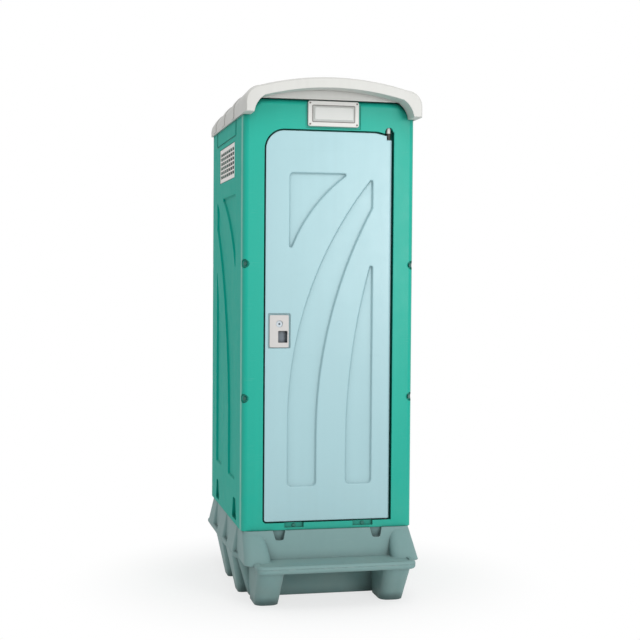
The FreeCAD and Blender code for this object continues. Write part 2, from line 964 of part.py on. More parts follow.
def front_wall():
    """Door frame of the cabin: rebate and stop for the door, hinge notch, lamp pocket and sill."""
    wall = plate(front_wall_outline(0, across(front_y)), Y_AXIS * frame_thick)
    fronts = upright_edges(wall, wall_width / 2, front_y) + upright_edges(wall, -wall_width / 2, front_y)
    wall = wall.makeFillet(corner_round, fronts)
    wall = wall.cut(plate(door_outline(door_gap, across(front_y - 1)), Y_AXIS * (stop_y - front_y + 1)))
    wall = wall.cut(plate(door_outline(-stop_lap, across(front_y)), Y_AXIS * (frame_thick + 1)))
    wall = wall.cut(hinge_notch())
    pin_hole = pin_radius + 0.05
    wall = wall.cut(rod(V(hinge_x, hinge_y, hinge_shelf - 1), Z_AXIS, pin_hole, pin_engage))
    wall = wall.cut(rod(V(hinge_x, hinge_y, base_height - 1), Z_AXIS, pin_hole, 60))
    for left, right in sill_slots:
        slot = box(left, right, front_y - 1, front_y + sill_slot_depth, sill_slot_bottom, door_bottom)
        wall = wall.cut(slot)
        middle = V((left + right) / 2, front_y + sill_slot_depth, sill_slot_bottom + 10)
        wall = wall.cut(rod(middle, Y_AXIS, shank_radius - 2, 20))
    plinth = plate(lamp_rectangle(lamp_plinth, 6, front_y - 1), Y_AXIS * (1 + lamp_plinth_depth))
    top_strip = box(lamp_x - lamp_width, lamp_x + lamp_width, front_y - 2, front_y + 4, front_top - 1,
                    front_top + 30)
    wall = wall.cut(plinth.cut(top_strip))
    half = lamp_window_half()
    pocket = box(lamp_x - half, lamp_x + half, front_y - 1, front_y + lamp_pocket_depth,
                 lamp_bottom + lamp_border, lamp_top - lamp_border)
    wall = wall.cut(pocket)
    for x, z in lamp_screw_places():
        wall = wall.cut(rod(V(x, front_y, z), Y_AXIS, lamp_screw_radius * 0.5 + 0.05, 16))
    for room in corner_pockets() + jamb_hollows() + [header_hollow()]:
        wall = wall.cut(room)
    return wall


def vent_box(margin, depth):
    """Block around the side vent, grown by a margin and reaching in from the outer face."""
    outer = -wall_width / 2
    return box(outer - 1, outer + depth, front_y + vent_front - margin, front_y + vent_back + margin,
               vent_bottom - margin, vent_top + margin)


def channel_boxes(margin):
    """The two short channels under the roof and the line between their feet, grown by a margin."""
    outer = -wall_width / 2
    shapes = []
    for place in channel_places:
        shapes.append(box(outer - 1, outer + channel_depth + margin,
                          front_y + place - channel_width / 2 - margin,
                          front_y + place + channel_width / 2 + margin,
                          channel_bottom - margin, roof_edge + roof_lap + margin))
    shapes.append(box(outer - 1, outer + channel_depth / 2 + margin,
                      front_y + channel_places[0] - margin, front_y + channel_places[1] + margin,
                      channel_bottom - channel_line - margin, channel_bottom + margin))
    return shapes


def foot_notch_blocks(margin):
    """Sloped notches at the foot of a side wall, grown by a margin."""
    outer = -wall_width / 2
    shapes = []
    for near, far in foot_notches:
        corners = [
            (front_y + near - margin, foot_notch_bottom - margin, 8),
            (front_y + far + margin, foot_notch_bottom - margin, 8),
            (front_y + far - foot_notch_slope + margin, foot_notch_top + margin, 20),
            (front_y + near + foot_notch_slope - margin, foot_notch_top + margin, 20),
        ]
        wire = outline(corners, lambda u, v: V(outer - 1, u, v))
        shapes.append(plate(wire, X_AXIS * (1 + foot_notch_depth + margin)))
    return shapes


def side_wall():
    """Left wall: double skin with pressed shapes, vent opening, top channels and foot notches."""
    outer = -wall_width / 2
    inner = -inner_half
    wall = box(outer, inner, inner_front, inner_back, base_height, wall_top)
    hollow = box(outer + skin, inner - skin, inner_front + wall_rim, inner_back - wall_rim,
                 base_height + wall_rim, wall_top - wall_rim)
    kept = relief_backs(side_place(outer), X_AXIS) + channel_boxes(skin) + foot_notch_blocks(skin)
    kept.append(vent_box(vent_recess_edge + skin, wall_thick + 2))
    for block in kept:
        hollow = hollow.cut(block)
    wall = wall.cut(hollow)
    for cutter in relief_cutters(side_place(outer), X_AXIS) + channel_boxes(0) + foot_notch_blocks(0):
        wall = wall.cut(cutter)
    return wall.cut(vent_box(vent_recess_edge, vent_recess)).cut(vent_box(-vent_border, wall_thick + 2))


def back_panels(margin):
    """Two tall pressed panels of the rear wall, grown by a margin."""
    shapes = []
    for side in (-1, 1):
        middle = side * back_panel_middle
        wire = rounded_box_outline(middle - back_panel_half - margin, middle + back_panel_half + margin,
                                   base_height + back_panel_foot - margin,
                                   wall_top - back_panel_head + margin,
                                   back_panel_round + margin, across(back_y - relief_depth - margin))
        shapes.append(plate(wire, Y_AXIS * (relief_depth + margin + 1)))
    return shapes


def back_wall():
    """Rear wall: double skin with two tall pressed panels."""
    half = wall_width / 2
    wall = box(-half, half, inner_back, back_y, base_height, wall_top)
    corners = upright_edges(wall, half, back_y) + upright_edges(wall, -half, back_y)
    wall = wall.makeFillet(corner_round, corners)
    hollow = box(-half + back_post, half - back_post, inner_back + skin, back_y - skin,
                 base_height + wall_rim, wall_top - wall_rim)
    for block in back_panels(skin):
        hollow = hollow.cut(block)
    wall = wall.cut(hollow)
    for cutter in back_panels(0) + corner_pockets():
        wall = wall.cut(cutter)
    return wall


def vent_grille():
    """Grille of the left wall: frame and bars with rows of openings."""
    outer = -wall_width / 2 + vent_recess - vent_thick
    near = front_y + vent_front
    far = front_y + vent_back
    grille = box(outer, outer + vent_thick, near, far, vent_bottom, vent_top)
    span = far - near - 2 * vent_border
    rise = vent_top - vent_bottom - 2 * vent_border
    hole_length = (span - (vent_columns - 1) * vent_bar) / vent_columns
    hole_height = (rise - (vent_rows - 1) * vent_bar) / vent_rows
    for row in range(vent_rows):
        for column in range(vent_columns):
            y = near + vent_border + column * (hole_length + vent_bar)
            z = vent_bottom + vent_border + row * (hole_height + vent_bar)
            hole = box(outer - 1, outer + vent_thick + 1, y, y + hole_length, z, z + hole_height)
            grille = grille.cut(hole)
    return grille


# Roof

def roof_section(y, crown, shrink, bottom):
    """Arched section of the roof at depth y, pulled in by shrink on the top and sides."""
    half = roof_half - shrink
    shoulder = roof_shoulder_half - shrink * 0.6
    top = crown - shrink
    shoulder_z = top - roof_shoulder_drop
    side_z = shoulder_z - roof_corner_drop
    bend = 0.3
    bend_x = shoulder + (half - shoulder) * (1 - bend)
    bend_z = side_z + (shoulder_z - side_z) * (1 - bend)
    edges = [
        Part.makeLine(V(-half, y, bottom), V(-half, y, side_z)),
        Part.Arc(V(-half, y, side_z), V(-bend_x, y, bend_z), V(-shoulder, y, shoulder_z)).toShape(),
        Part.Arc(V(-shoulder, y, shoulder_z), V(0, y, top), V(shoulder, y, shoulder_z)).toShape(),
        Part.Arc(V(shoulder, y, shoulder_z), V(bend_x, y, bend_z), V(half, y, side_z)).toShape(),
        Part.makeLine(V(half, y, side_z), V(half, y, bottom)),
        Part.makeLine(V(half, y, bottom), V(-half, y, bottom)),
    ]
    return Part.Wire(edges)


def crown_at(y):
    """Height of the roof's crown, which falls from the visor to the rear."""
    run = (y - (front_y - visor_reach)) / (wall_depth + visor_reach)
    return roof_crown - roof_fall * run


def roof_body(y_start, y_end, shrink, bottom):
    """Arched block of the roof between two depths."""
    sections = []
    for y in (y_start, y_end):
        sections.append(roof_section(y, crown_at(y), shrink, bottom))
    return Part.makeLoft(sections, True, True)


def visor_opening(y, top):
    """Opening under the visor at depth y, with a curved ear at both ends and an arched or level top."""
    low = roof_edge - visor_reach
    ear_end = roof_edge - ear_below
    neck = front_top + wall_gap
    bend = neck - ear_bend_drop
    left = Part.Arc(V(-ear_half, y, ear_end), V(-ear_bend_half, y, bend), V(-ear_neck_half, y, neck))
    right = Part.Arc(V(ear_neck_half, y, neck), V(ear_bend_half, y, bend), V(ear_half, y, ear_end))
    head = Part.makeLine(V(-ear_neck_half, y, neck), V(ear_neck_half, y, neck))
    if top > neck:
        head = Part.Arc(V(-ear_neck_half, y, neck), V(0, y, top), V(ear_neck_half, y, neck)).toShape()
    edges = [
        Part.makeLine(V(-ear_half, y, low), V(-ear_half, y, ear_end)),
        left.toShape(),
        head,
        right.toShape(),
        Part.makeLine(V(ear_half, y, ear_end), V(ear_half, y, low)),
        Part.makeLine(V(ear_half, y, low), V(-ear_half, y, low)),
    ]
    return Part.Wire(edges)


def roof():
    """Roof shell: visor with dropped ears, fascia on the door frame, skirt round the walls, ribs."""
    soft = 14.0
    visor_face = front_y - visor_reach
    rear = back_y + roof_half - wall_width / 2
    sections = [
        roof_section(visor_face, crown_at(visor_face), soft * 0.6, roof_edge + 3),
        roof_section(visor_face + soft, crown_at(visor_face + soft), 0, roof_edge),
        roof_section(rear - soft, crown_at(rear - soft), 0, roof_edge),
        roof_section(rear, crown_at(rear), soft, roof_edge + 3),
    ]
    shell = Part.makeLoft(sections, True, True)
    ribs = []
    for place in roof_rib_places:
        y = front_y + place
        ribs.append(roof_body(y, y + roof_rib_width, -roof_rib_height, roof_edge + 8))
    shell = join([shell] + ribs)
    dome = roof_body(front_y + roof_skin, back_y + wall_gap, roof_half - wall_width / 2 - wall_gap,
                     roof_edge - 5)
    skirt = box(-wall_width / 2 - wall_gap, wall_width / 2 + wall_gap, front_y, back_y + wall_gap,
                roof_edge - 5, wall_top)
    shell = shell.cut(dome).cut(skirt)
    front_room = plate(front_wall_outline(wall_gap, across(front_y - 0.01)), Y_AXIS * (frame_thick + 0.02))
    shell = shell.cut(front_room)
    tunnel = visor_opening(visor_face - 1, crown_at(visor_face) - visor_band)
    shell = shell.cut(plate(tunnel, Y_AXIS * (visor_reach + 1 - fascia_proud)))
    doorway = visor_opening(front_y - fascia_proud - 1, front_top)
    shell = shell.cut(plate(doorway, Y_AXIS * (fascia_proud + 1)))
    stack = rod(V(stack_x, front_y + stack_y, roof_edge), Z_AXIS, stack_radius + stack_fit, 400)
    return shell.cut(stack)


# Door and hinges

def door_hollows():
    """Sealed hollows of the door under and over the latch, with a skin kept behind each pressed shape."""
    shapes = []
    spans = [(door_bottom + door_rim, latch_bottom - latch_clear),
             (latch_top + latch_clear, door_top - door_corner)]
    for low, high in spans:
        hollow = box(door_left + door_rim, hinge_x - door_thick, front_y + skin, door_back - skin, low, high)
        for block in relief_backs(door_place(front_y), Y_AXIS):
            hollow = hollow.cut(block)
        shapes.append(hollow)
    return shapes


def door_panel():
    """Door: double skin with pressed shapes, a rounded hinge edge and seats for pins and latch."""
    door = plate(door_outline(0, across(front_y)), Y_AXIS * door_thick)
    edge_radius = door_thick / 2
    corner_bar = box(hinge_x, door_right + 1, front_y - 1, door_back + 1, door_bottom - 1, door_top + 1)
    round_bar = rod(V(hinge_x, hinge_y, door_bottom - 1), Z_AXIS, edge_radius, door_top - door_bottom + 2)
    door = door.cut(corner_bar.cut(round_bar))
    bar_top = door_top - door_cut_drop
    door = door.cut(box(hinge_x - bush_radius - 1, door_right + 1, front_y - 1, door_back + 1,
                        bar_top, door_top + 1))
    for hollow in door_hollows():
        door = door.cut(hollow)
    for cutter in relief_cutters(door_place(front_y), Y_AXIS):
        door = door.cut(cutter)
    hole = pin_radius + pin_fit
    door = door.cut(rod(V(hinge_x, hinge_y, bar_top + 1), -Z_AXIS, hole, pin_engage))
    door = door.cut(rod(V(hinge_x, hinge_y, door_bottom - 1), Z_AXIS, hole, pin_engage))
    recess = rounded_box_outline(latch_left - latch_margin, latch_right + latch_margin,
                                 latch_bottom - latch_margin / 2, latch_top + latch_margin, latch_corner,
                                 across(front_y - 1))
    door = door.cut(plate(recess, Y_AXIS * (1 + latch_recess)))
    cup = box(grip_left - grip_wall, grip_right + grip_wall, front_y, front_y + latch_recess + grip_depth,
              grip_bottom - grip_wall, grip_top + grip_wall)
    dial = rod(V(dial_x, front_y, dial_z), Y_AXIS, dial_radius + 1.5, latch_recess + dial_thick + 1)
    spindle = rod(V(dial_x, front_y, dial_z), Y_AXIS, spindle_radius + 0.5, door_thick + 1)
    return door.cut(cup).cut(dial).cut(spindle)


def hinge_pin_top():
    """Upper pivot pin, fixed in the frame and reaching down into the door."""
    bottom = door_top - door_cut_drop - pin_engage + 10
    top = hinge_shelf + pin_engage - 15
    return rod(V(hinge_x, hinge_y, bottom), Z_AXIS, pin_radius, top - bottom)


def hinge_pin_bottom():
    """Lower pivot pin, standing in the sill and reaching up into the door."""
    bottom = base_height + 1
    return rod(V(hinge_x, hinge_y, bottom), Z_AXIS, pin_radius, door_bottom + pin_engage - 12 - bottom)


def hinge_collar_top():
    """White collar under the frame, round the upper pin."""
    low = hinge_shelf - collar_height
    collar = rod(V(hinge_x, hinge_y, low), Z_AXIS, collar_radius, collar_height)
    return collar.cut(rod(V(hinge_x, hinge_y, low - 1), Z_AXIS, pin_radius + 0.05, collar_height + 2))


def hinge_bush_top():
    """Dark bush that stands on the door's hinge corner and turns on the upper pin."""
    low = door_top - door_cut_drop
    bush = rod(V(hinge_x, hinge_y, low), Z_AXIS, bush_radius, bush_height)
    return bush.cut(rod(V(hinge_x, hinge_y, low - 1), Z_AXIS, pin_radius + pin_fit, bush_height + 2))


def hinge_washer_bottom():
    """Washer on the sill that carries the door's weight."""
    low = door_bottom - door_gap
    washer = rod(V(hinge_x, hinge_y, low), Z_AXIS, bush_radius, washer_height)
    return washer.cut(rod(V(hinge_x, hinge_y, low - 1), Z_AXIS, pin_radius + 0.05, washer_height + 2))


def door_bumpers():
    """Three rubber pads on the door stop."""
    shapes = []
    x = door_left + stop_lap / 2 - 3
    for rise in bumper_rises:
        middle = base_height + rise
        shapes.append(box(x - bumper_half_width, x + bumper_half_width, stop_y - stop_gap + wall_gap, stop_y,
                          middle - bumper_half_height, middle + bumper_half_height))
    return Part.makeCompound(shapes)


# Latch

def latch_plate():
    """Plate in the door's recess with a round window and the finger opening."""
    y = front_y + latch_recess - latch_thick
    wire = rounded_box_outline(latch_left, latch_right, latch_bottom, latch_top, latch_corner, across(y))
    shape = plate(wire, Y_AXIS * latch_thick)
    shape = shape.cut(rod(V(dial_x, y - 1, dial_z), Y_AXIS, dial_radius - 1, latch_thick + 2))
    opening = rounded_box_outline(grip_left, grip_right, grip_bottom, grip_top, 3, across(y - 1))
    return shape.cut(plate(opening, Y_AXIS * (latch_thick + 2)))


def latch_cup():
    """Finger cup behind the plate's opening."""
    near = front_y + latch_recess
    far = near + grip_depth
    cup = box(grip_left - grip_wall, grip_right + grip_wall, near, far,
              grip_bottom - grip_wall, grip_top + grip_wall)
    hollow = box(grip_left, grip_right, near - 1, far - grip_wall, grip_bottom, grip_top)
    return cup.cut(hollow)


def indicator_dial():
    """Dial behind the round window, on the lock's spindle."""
    y = front_y + latch_recess + wall_gap
    return rod(V(dial_x, y, dial_z), Y_AXIS, dial_radius, dial_thick)


def lock_case():
    """Case on the door's inner face that guides the bolt and the spindle."""
    wire = rounded_box_outline(lock_left, lock_right, lock_bottom, lock_top, 8, across(door_back))
    case = plate(wire, Y_AXIS * lock_depth)
    half = bolt_height / 2 + bolt_fit
    channel = box(lock_left - 1, lock_left + bolt_length + bolt_fit, bolt_y - bolt_fit,
                  bolt_y + bolt_thick + bolt_fit,
                  bolt_z - half, bolt_z + half)
    spindle = rod(V(dial_x, door_back - 1, dial_z), Y_AXIS, spindle_radius + 0.08, lock_depth + 2)
    return case.cut(channel).cut(spindle)


def lock_bolt():
    """Bolt that slides behind the door frame."""
    half = bolt_height / 2
    bolt = box(lock_left, lock_left + bolt_length, bolt_y, bolt_y + bolt_thick, bolt_z - half, bolt_z + half)
    nose = [edge for edge in bolt.Edges
            if edge.BoundBox.XMax < lock_left + 0.01 and edge.BoundBox.ZLength < 0.01]
    return bolt.makeFillet(4.0, nose)


def thumb_turn():
    """Knob inside the cabin with the spindle that drives the dial."""
    start = front_y + latch_recess + wall_gap + dial_thick
    spindle = rod(V(dial_x, start, dial_z), Y_AXIS, spindle_radius, lock_inner + wall_gap - start)
    face = lock_inner + wall_gap
    disc = rod(V(dial_x, face, dial_z), Y_AXIS, knob_radius, knob_height)
    half = 3.5
    grip = box(dial_x - knob_radius + 2, dial_x + knob_radius - 2, face + knob_height,
               face + knob_height + knob_tab,
               dial_z - half, dial_z + half)
    return join([spindle, disc, grip])


def strike_plate():
    """Wear plate on the frame's inner face, where the bolt slides."""
    edge = door_left + stop_lap
    shape = box(edge - 40, edge, inner_front, inner_front + strike_thick, bolt_z - 30, bolt_z + 30)
    return shape


def inside_pull():
    """D handle on the door's inner face, under the lock."""
    far = door_back + pull_reach
    low = pull_bottom + pull_radius
    high = pull_top - pull_radius
    bend = 20.0
    sag = bend * (1 - math.sqrt(0.5))
    path = [
        Part.makeLine(V(pull_x, door_back, low), V(pull_x, far - bend, low)),
        Part.Arc(V(pull_x, far - bend, low), V(pull_x, far - sag, low + sag),
                 V(pull_x, far, low + bend)).toShape(),
        Part.makeLine(V(pull_x, far, low + bend), V(pull_x, far, high - bend)),
        Part.Arc(V(pull_x, far, high - bend), V(pull_x, far - sag, high - sag),
                 V(pull_x, far - bend, high)).toShape(),
        Part.makeLine(V(pull_x, far - bend, high), V(pull_x, door_back, high)),
    ]
    ring = Part.Wire(Part.makeCircle(pull_radius, V(pull_x, door_back, low), Y_AXIS))
    bar = Part.Wire(path).makePipeShell([ring], True, False)
    feet = [rod(V(pull_x, door_back, z), Y_AXIS, pull_foot, 4) for z in (low, high)]
    return join([bar] + feet)


# Lamp

def lamp_screw_places():
    """Centres of the four screws in the corners of the lamp frame."""
    inset = lamp_border / 2
    half = lamp_width / 2 - inset
    places = []
    for x in (lamp_x - half, lamp_x + half):
        for z in (lamp_bottom + inset, lamp_top - inset):
            places.append((x, z))
    return places


def lamp_frame():
    """White frame that holds the lens, with a window and four screw holes."""
    back = front_y + lamp_plinth_depth
    front = back - lamp_frame_thick
    shape = plate(lamp_rectangle(0, 10, front), Y_AXIS * lamp_frame_thick)
    near_edges = [edge for edge in shape.Edges if edge.BoundBox.YMax < front + 0.01]
    shape = shape.makeFillet(4.0, near_edges)
    half = lamp_window_half()
    window = box(lamp_x - half, lamp_x + half, front - 1, back + 1, lamp_bottom + lamp_border,
                 lamp_top - lamp_border)
    shape = shape.cut(window)
    for x, z in lamp_screw_places():
        shape = shape.cut(rod(V(x, front - 1, z), Y_AXIS, lamp_screw_radius * 0.5 + 0.05,
                              lamp_frame_thick + 2))
    return shape


def lamp_lens():
    """Domed lens in the frame's window."""
    half = lamp_window_half() - 0.4
    low = lamp_bottom + lamp_border + 0.4
    high = lamp_top - lamp_border - 0.4
    back = front_y + lamp_plinth_depth
    face = back - lamp_frame_thick
    base = rounded_box_outline(lamp_x - half, lamp_x + half, low, high, 6, across(back))
    rim = rounded_box_outline(lamp_x - half, lamp_x + half, low, high, 6, across(face + 2))
    crest = rounded_box_outline(lamp_x - half + 12, lamp_x + half - 12, low + 12, high - 12, 6,
                                across(face - lamp_lens_rise))
    body = Part.makeLoft([base, rim, crest], True, True)
    thin = lamp_lens_thick
    base_in = rounded_box_outline(lamp_x - half + thin, lamp_x + half - thin, low + thin, high - thin, 4,
                                  across(back + 1))
    rim_in = rounded_box_outline(lamp_x - half + thin, lamp_x + half - thin, low + thin, high - thin, 4,
                                 across(face + 2))
    crest_in = rounded_box_outline(lamp_x - half + 12 + thin, lamp_x + half - 12 - thin, low + 12 + thin,
                                   high - 12 - thin, 4, across(face - lamp_lens_rise + thin))
    return body.cut(Part.makeLoft([base_in, rim_in, crest_in], True, True))


def lamp_board():
    """Board with light emitters at the back of the lamp pocket."""
    half = lamp_window_half() - 6
    far = front_y + lamp_pocket_depth
    low = lamp_bottom + lamp_border + 6
    high = lamp_top - lamp_border - 6
    board = box(lamp_x - half, lamp_x + half, far - lamp_board_thick, far, low, high)
    chips = []
    for index in range(6):
        x = lamp_x - half + (index + 0.5) * 2 * half / 6
        middle = (low + high) / 2
        chips.append(box(x - 5, x + 5, far - lamp_board_thick - 2, far - lamp_board_thick, middle - 5,
                         middle + 5))
    return join([board] + chips)


def lamp_screws():
    """Four screws in the corners of the lamp frame."""
    front = front_y + lamp_plinth_depth - lamp_frame_thick
    shapes = []
    for x, z in lamp_screw_places():
        head = rod(V(x, front - 2, z), Y_AXIS, lamp_screw_radius, 2)
        shank = rod(V(x, front, z), Y_AXIS, lamp_screw_radius * 0.5, lamp_frame_thick + 12)
        shapes.append(head.fuse(shank))
    return Part.makeCompound(shapes)


def sill_bolts():
    """Two bolts in the sill slots that hold the frame on the tank."""
    shapes = []
    for left, right in sill_slots:
        y = front_y + sill_slot_depth
        x = (left + right) / 2
        z = sill_slot_bottom + 10
        head = rod(V(x, y - 6, z), Y_AXIS, 8, 6)
        shank = rod(V(x, y, z), Y_AXIS, shank_radius - 2.05, 19)
        shapes.append(head.fuse(shank))
    return Part.makeCompound(shapes)


# Bowl, seat and lid

def oval(half_width, half_length, y, z):
    """Level oval wire of four tangent arcs round the bowl's middle."""
    end_radius = oval_end_share * half_width
    run = half_length - end_radius
    side_radius = (half_width ** 2 + run ** 2 - end_radius ** 2) / (2 * (half_width - end_radius))
    shift = side_radius - half_width
    reach = side_radius - end_radius
    turn_x = side_radius * shift / reach - shift
    turn_y = side_radius * run / reach
    stops = [(turn_x, -turn_y), (half_width, 0), (turn_x, turn_y), (0, half_length),
             (-turn_x, turn_y), (-half_width, 0), (-turn_x, -turn_y), (0, -half_length)]
    points = [V(u, y + v, z) for u, v in stops]
    edges = []
    for index in (0, 2, 4, 6):
        arc = Part.Arc(points[index], points[index + 1], points[(index + 2) % 8])
        edges.append(arc.toShape())
    return Part.Wire(edges)


def oval_block(sections):
    """Block through level ovals, each (half width, half length, middle y, z)."""
    return Part.makeLoft([oval(*section) for section in sections], True, True)


def bowl_pedestal():
    """Pedestal: an open skirt on the floor with a thick rim round the bowl at its top."""
    y = bowl_centre_y
    wall = bowl_wall
    deck_back = box(-bowl_deck_half, bowl_deck_half, y + bowl_half_length - 60, seat_hinge_y + 22,
                    bowl_rim - bowl_rim_edge, bowl_rim)
    body = oval_block([
        (bowl_foot_half_width, bowl_foot_half_length, y + 10, floor_top),
        (bowl_foot_half_width - 14, bowl_foot_half_length - 24, y + 10, floor_top + 150),
        (bowl_half_width - 10, bowl_half_length - 10, y, bowl_rim - bowl_rim_deep),
        (bowl_half_width, bowl_half_length, y, bowl_rim - bowl_rim_edge),
        (bowl_half_width, bowl_half_length, y, bowl_rim),
    ])
    inside = oval_block([
        (bowl_foot_half_width - wall, bowl_foot_half_length - wall, y + 10, floor_top - 1),
        (bowl_foot_half_width - 14 - wall, bowl_foot_half_length - 24 - wall, y + 10, floor_top + 150),
        (bowl_half_width - 10 - wall, bowl_half_length - 10 - wall, y, bowl_rim - bowl_rim_deep),
        (bowl_half_width - wall, bowl_half_length - wall, y, bowl_rim - bowl_rim_edge),
    ])
    opening = oval_block([
        (mouth_half_width, mouth_half_length, y, bowl_rim - bowl_rim_edge - 1),
        (mouth_half_width, mouth_half_length, y, bowl_rim - 15),
        (bowl_half_width - 50, bowl_half_length - 55, y, bowl_rim + 1),
    ])
    spigot_end = y + seat_hole_half_length
    spigot = rod(V(0, seat_hinge_y + 23, bowl_rim - 15), -Y_AXIS, pipe_radius - 6,
                 seat_hinge_y + 23 - spigot_end)
    return join([body, deck_back]).cut(inside).cut(opening).cut(spigot)


def toilet_bowl():
    """Bowl: a funnel under the rim, with a flange round its top and a collar round its outlet."""
    y = bowl_centre_y
    wall = bowl_wall
    top = bowl_rim - bowl_rim_edge
    waist = bowl_rim - bowl_rim_deep
    low = throat_top - 40
    outside = oval_block([
        (throat_radius + wall, throat_radius + wall + 1, y, low),
        (seat_hole_half_width + wall, seat_hole_half_length + wall, y, waist),
        (mouth_half_width + wall, mouth_half_length + wall, y, top),
    ])
    flange = plate(oval(mouth_half_width + 3 * wall, mouth_half_length + 3 * wall, y, top - wall),
                   Z_AXIS * wall)
    collar = rod(V(0, y, low - collar_deep), Z_AXIS, throat_radius + throat_wall + wall, collar_deep)
    funnel = oval_block([
        (throat_radius, throat_radius + 1, y, low - 0.01),
        (seat_hole_half_width, seat_hole_half_length, y, waist),
        (mouth_half_width, mouth_half_length, y, top + 0.01),
    ])
    socket = rod(V(0, y, low - collar_deep - 1), Z_AXIS, throat_radius + throat_wall + tube_fit,
                 collar_deep + 1)
    return join([outside, flange, collar]).cut(funnel).cut(socket)


def drop_tube():
    """Tube from the bowl's outlet through the floor and the deck into the tank."""
    length = throat_top - 40 - wall_gap - throat_bottom
    tube = rod(V(0, bowl_centre_y, throat_bottom), Z_AXIS, throat_radius + throat_wall, length)
    return tube.cut(rod(V(0, bowl_centre_y, throat_bottom - 1), Z_AXIS, throat_radius, length + 2))


def hinge_lug(x, width, hole):
    """Ring of a seat or lid round the hinge pin, at x."""
    ring = rod(V(x - width / 2, seat_hinge_y, seat_hinge_z), X_AXIS, seat_pin_radius + 6, width)
    return ring.cut(rod(V(x - width / 2 - 1, seat_hinge_y, seat_hinge_z), X_AXIS, hole, width + 2))


def seat():
    """Seat ring with two lugs on the hinge pin."""
    y = bowl_centre_y
    outer = plate(oval(seat_half_width, seat_half_length, y, seat_bottom), Z_AXIS * seat_thick)
    top_edge = [edge for edge in outer.Edges if edge.BoundBox.ZMin > seat_bottom + seat_thick - 0.01]
    ring = outer.makeFillet(7.0, top_edge)
    hole = plate(oval(seat_hole_half_width, seat_hole_half_length, y - 8, seat_bottom - 1),
                 Z_AXIS * (seat_thick + 2))
    ring = ring.cut(hole)
    parts = [ring]
    for side in (-1, 1):
        x = side * seat_lug_x
        arm = box(x - seat_lug_width / 2, x + seat_lug_width / 2, y + seat_half_length - 40, seat_hinge_y,
                  seat_bottom, seat_bottom + seat_thick - 4)
        arm = arm.cut(rod(V(x - 50, seat_hinge_y, seat_hinge_z), X_AXIS, seat_pin_radius + 3, 100))
        parts.append(arm)
        parts.append(hinge_lug(x, seat_lug_width, seat_pin_radius + 0.08))
    return join(parts)


def lid():
    """Lid, which stands open behind the seat, with two lugs on the same pin."""
    y = bowl_centre_y
    bottom = seat_bottom + seat_thick + 1
    disc = plate(oval(seat_half_width - 2, seat_half_length - 2, y, bottom), Z_AXIS * lid_thick)
    top_edge = [edge for edge in disc.Edges if edge.BoundBox.ZMin > bottom + lid_thick - 0.01]
    parts = [disc.makeFillet(5.0, top_edge)]
    for side in (-1, 1):
        x = side * lid_lug_x
        arm = box(x - seat_lug_width / 2, x + seat_lug_width / 2, y + seat_half_length - 60, seat_hinge_y + 8,
                  bottom, bottom + lid_thick - 2)
        parts.append(arm)
        parts.append(hinge_lug(x, seat_lug_width, seat_pin_radius + 0.08))
    whole = join(parts)
    whole = whole.cut(rod(V(-seat_pin_length, seat_hinge_y, seat_hinge_z), X_AXIS, seat_pin_radius + 0.08,
                          2 * seat_pin_length))
    whole.rotate(V(0, seat_hinge_y, seat_hinge_z), -X_AXIS, lid_open_angle)
    return whole


def seat_hinge_pin():
    """Pin through the lugs and blocks of the seat hinge."""
    return rod(V(-seat_pin_length / 2, seat_hinge_y, seat_hinge_z), X_AXIS, seat_pin_radius, seat_pin_length)


def seat_hinge_blocks():
    """Two blocks on the bowl that carry the hinge pin."""
    shapes = []
    for side in (-1, 1):
        x = side * hinge_block_x
        low = box(x - hinge_block_width / 2, x + hinge_block_width / 2, seat_hinge_y - 12, seat_hinge_y + 12,
                  bowl_rim, seat_hinge_z)
        cap = rod(V(x - hinge_block_width / 2, seat_hinge_y, seat_hinge_z), X_AXIS, 12, hinge_block_width)
        hole = rod(V(x - 40, seat_hinge_y, seat_hinge_z), X_AXIS, seat_pin_radius + 0.05, 80)
        shapes.append(join([low, cap]).cut(hole))
    return Part.makeCompound(shapes)


def seat_bumpers():
    """Four rubber feet under the seat."""
    shapes = []
    for x, y in ((-130, -110), (130, -110), (-130, 90), (130, 90)):
        shapes.append(rod(V(x, bowl_centre_y + y, bowl_rim + seat_rest_gap), Z_AXIS, 9, seat_bumper))
    return Part.makeCompound(shapes)


# Flap valve and pedal

def flap_axis():
    """Point on the axis on which the flap swings, behind the throat."""
    return V(0, bowl_centre_y + throat_radius + throat_wall + 10, throat_bottom - wall_gap - flap_thick / 2)


def flap_valve():
    """Round flap that closes the throat from below, with a lug on its pin."""
    disc = rod(V(0, bowl_centre_y, throat_bottom - wall_gap - flap_thick), Z_AXIS,
               throat_radius + throat_wall, flap_thick)
    axis = flap_axis()
    arm = box(-flap_lug_width, flap_lug_width, bowl_centre_y + throat_radius - 8, axis.y,
              axis.z - flap_thick / 2,
              axis.z + flap_thick / 2)
    hub = rod(axis - X_AXIS * flap_lug_width, X_AXIS, flap_hub_radius, 2 * flap_lug_width)
    hole = rod(axis - X_AXIS * 40, X_AXIS, flap_pin_radius + 0.06, 80)
    return join([disc, arm, hub]).cut(hole)


def flap_bracket():
    """Bracket under the deck that carries the flap's pin."""
    axis = flap_axis()
    shapes = []
    for side in (-1, 1):
        near = side * (flap_lug_width + 1)
        far = side * (flap_lug_width + 6)
        cheek = box(min(near, far), max(near, far), axis.y - 7, axis.y + flap_hub_radius + flap_hub_gap + 1,
                    axis.z - 7, base_height - tank_wall)
        shapes.append(cheek)
    bridge_front = axis.y + flap_hub_radius + flap_hub_gap
    bridge = box(-flap_lug_width - 6, flap_lug_width + 6, bridge_front, bridge_front + flap_bridge_thick,
                 axis.z - 7, base_height - tank_wall)
    shapes.append(bridge)
    hole = rod(axis - X_AXIS * 40, X_AXIS, flap_pin_radius + 0.05, 80)
    return join(shapes).cut(hole)


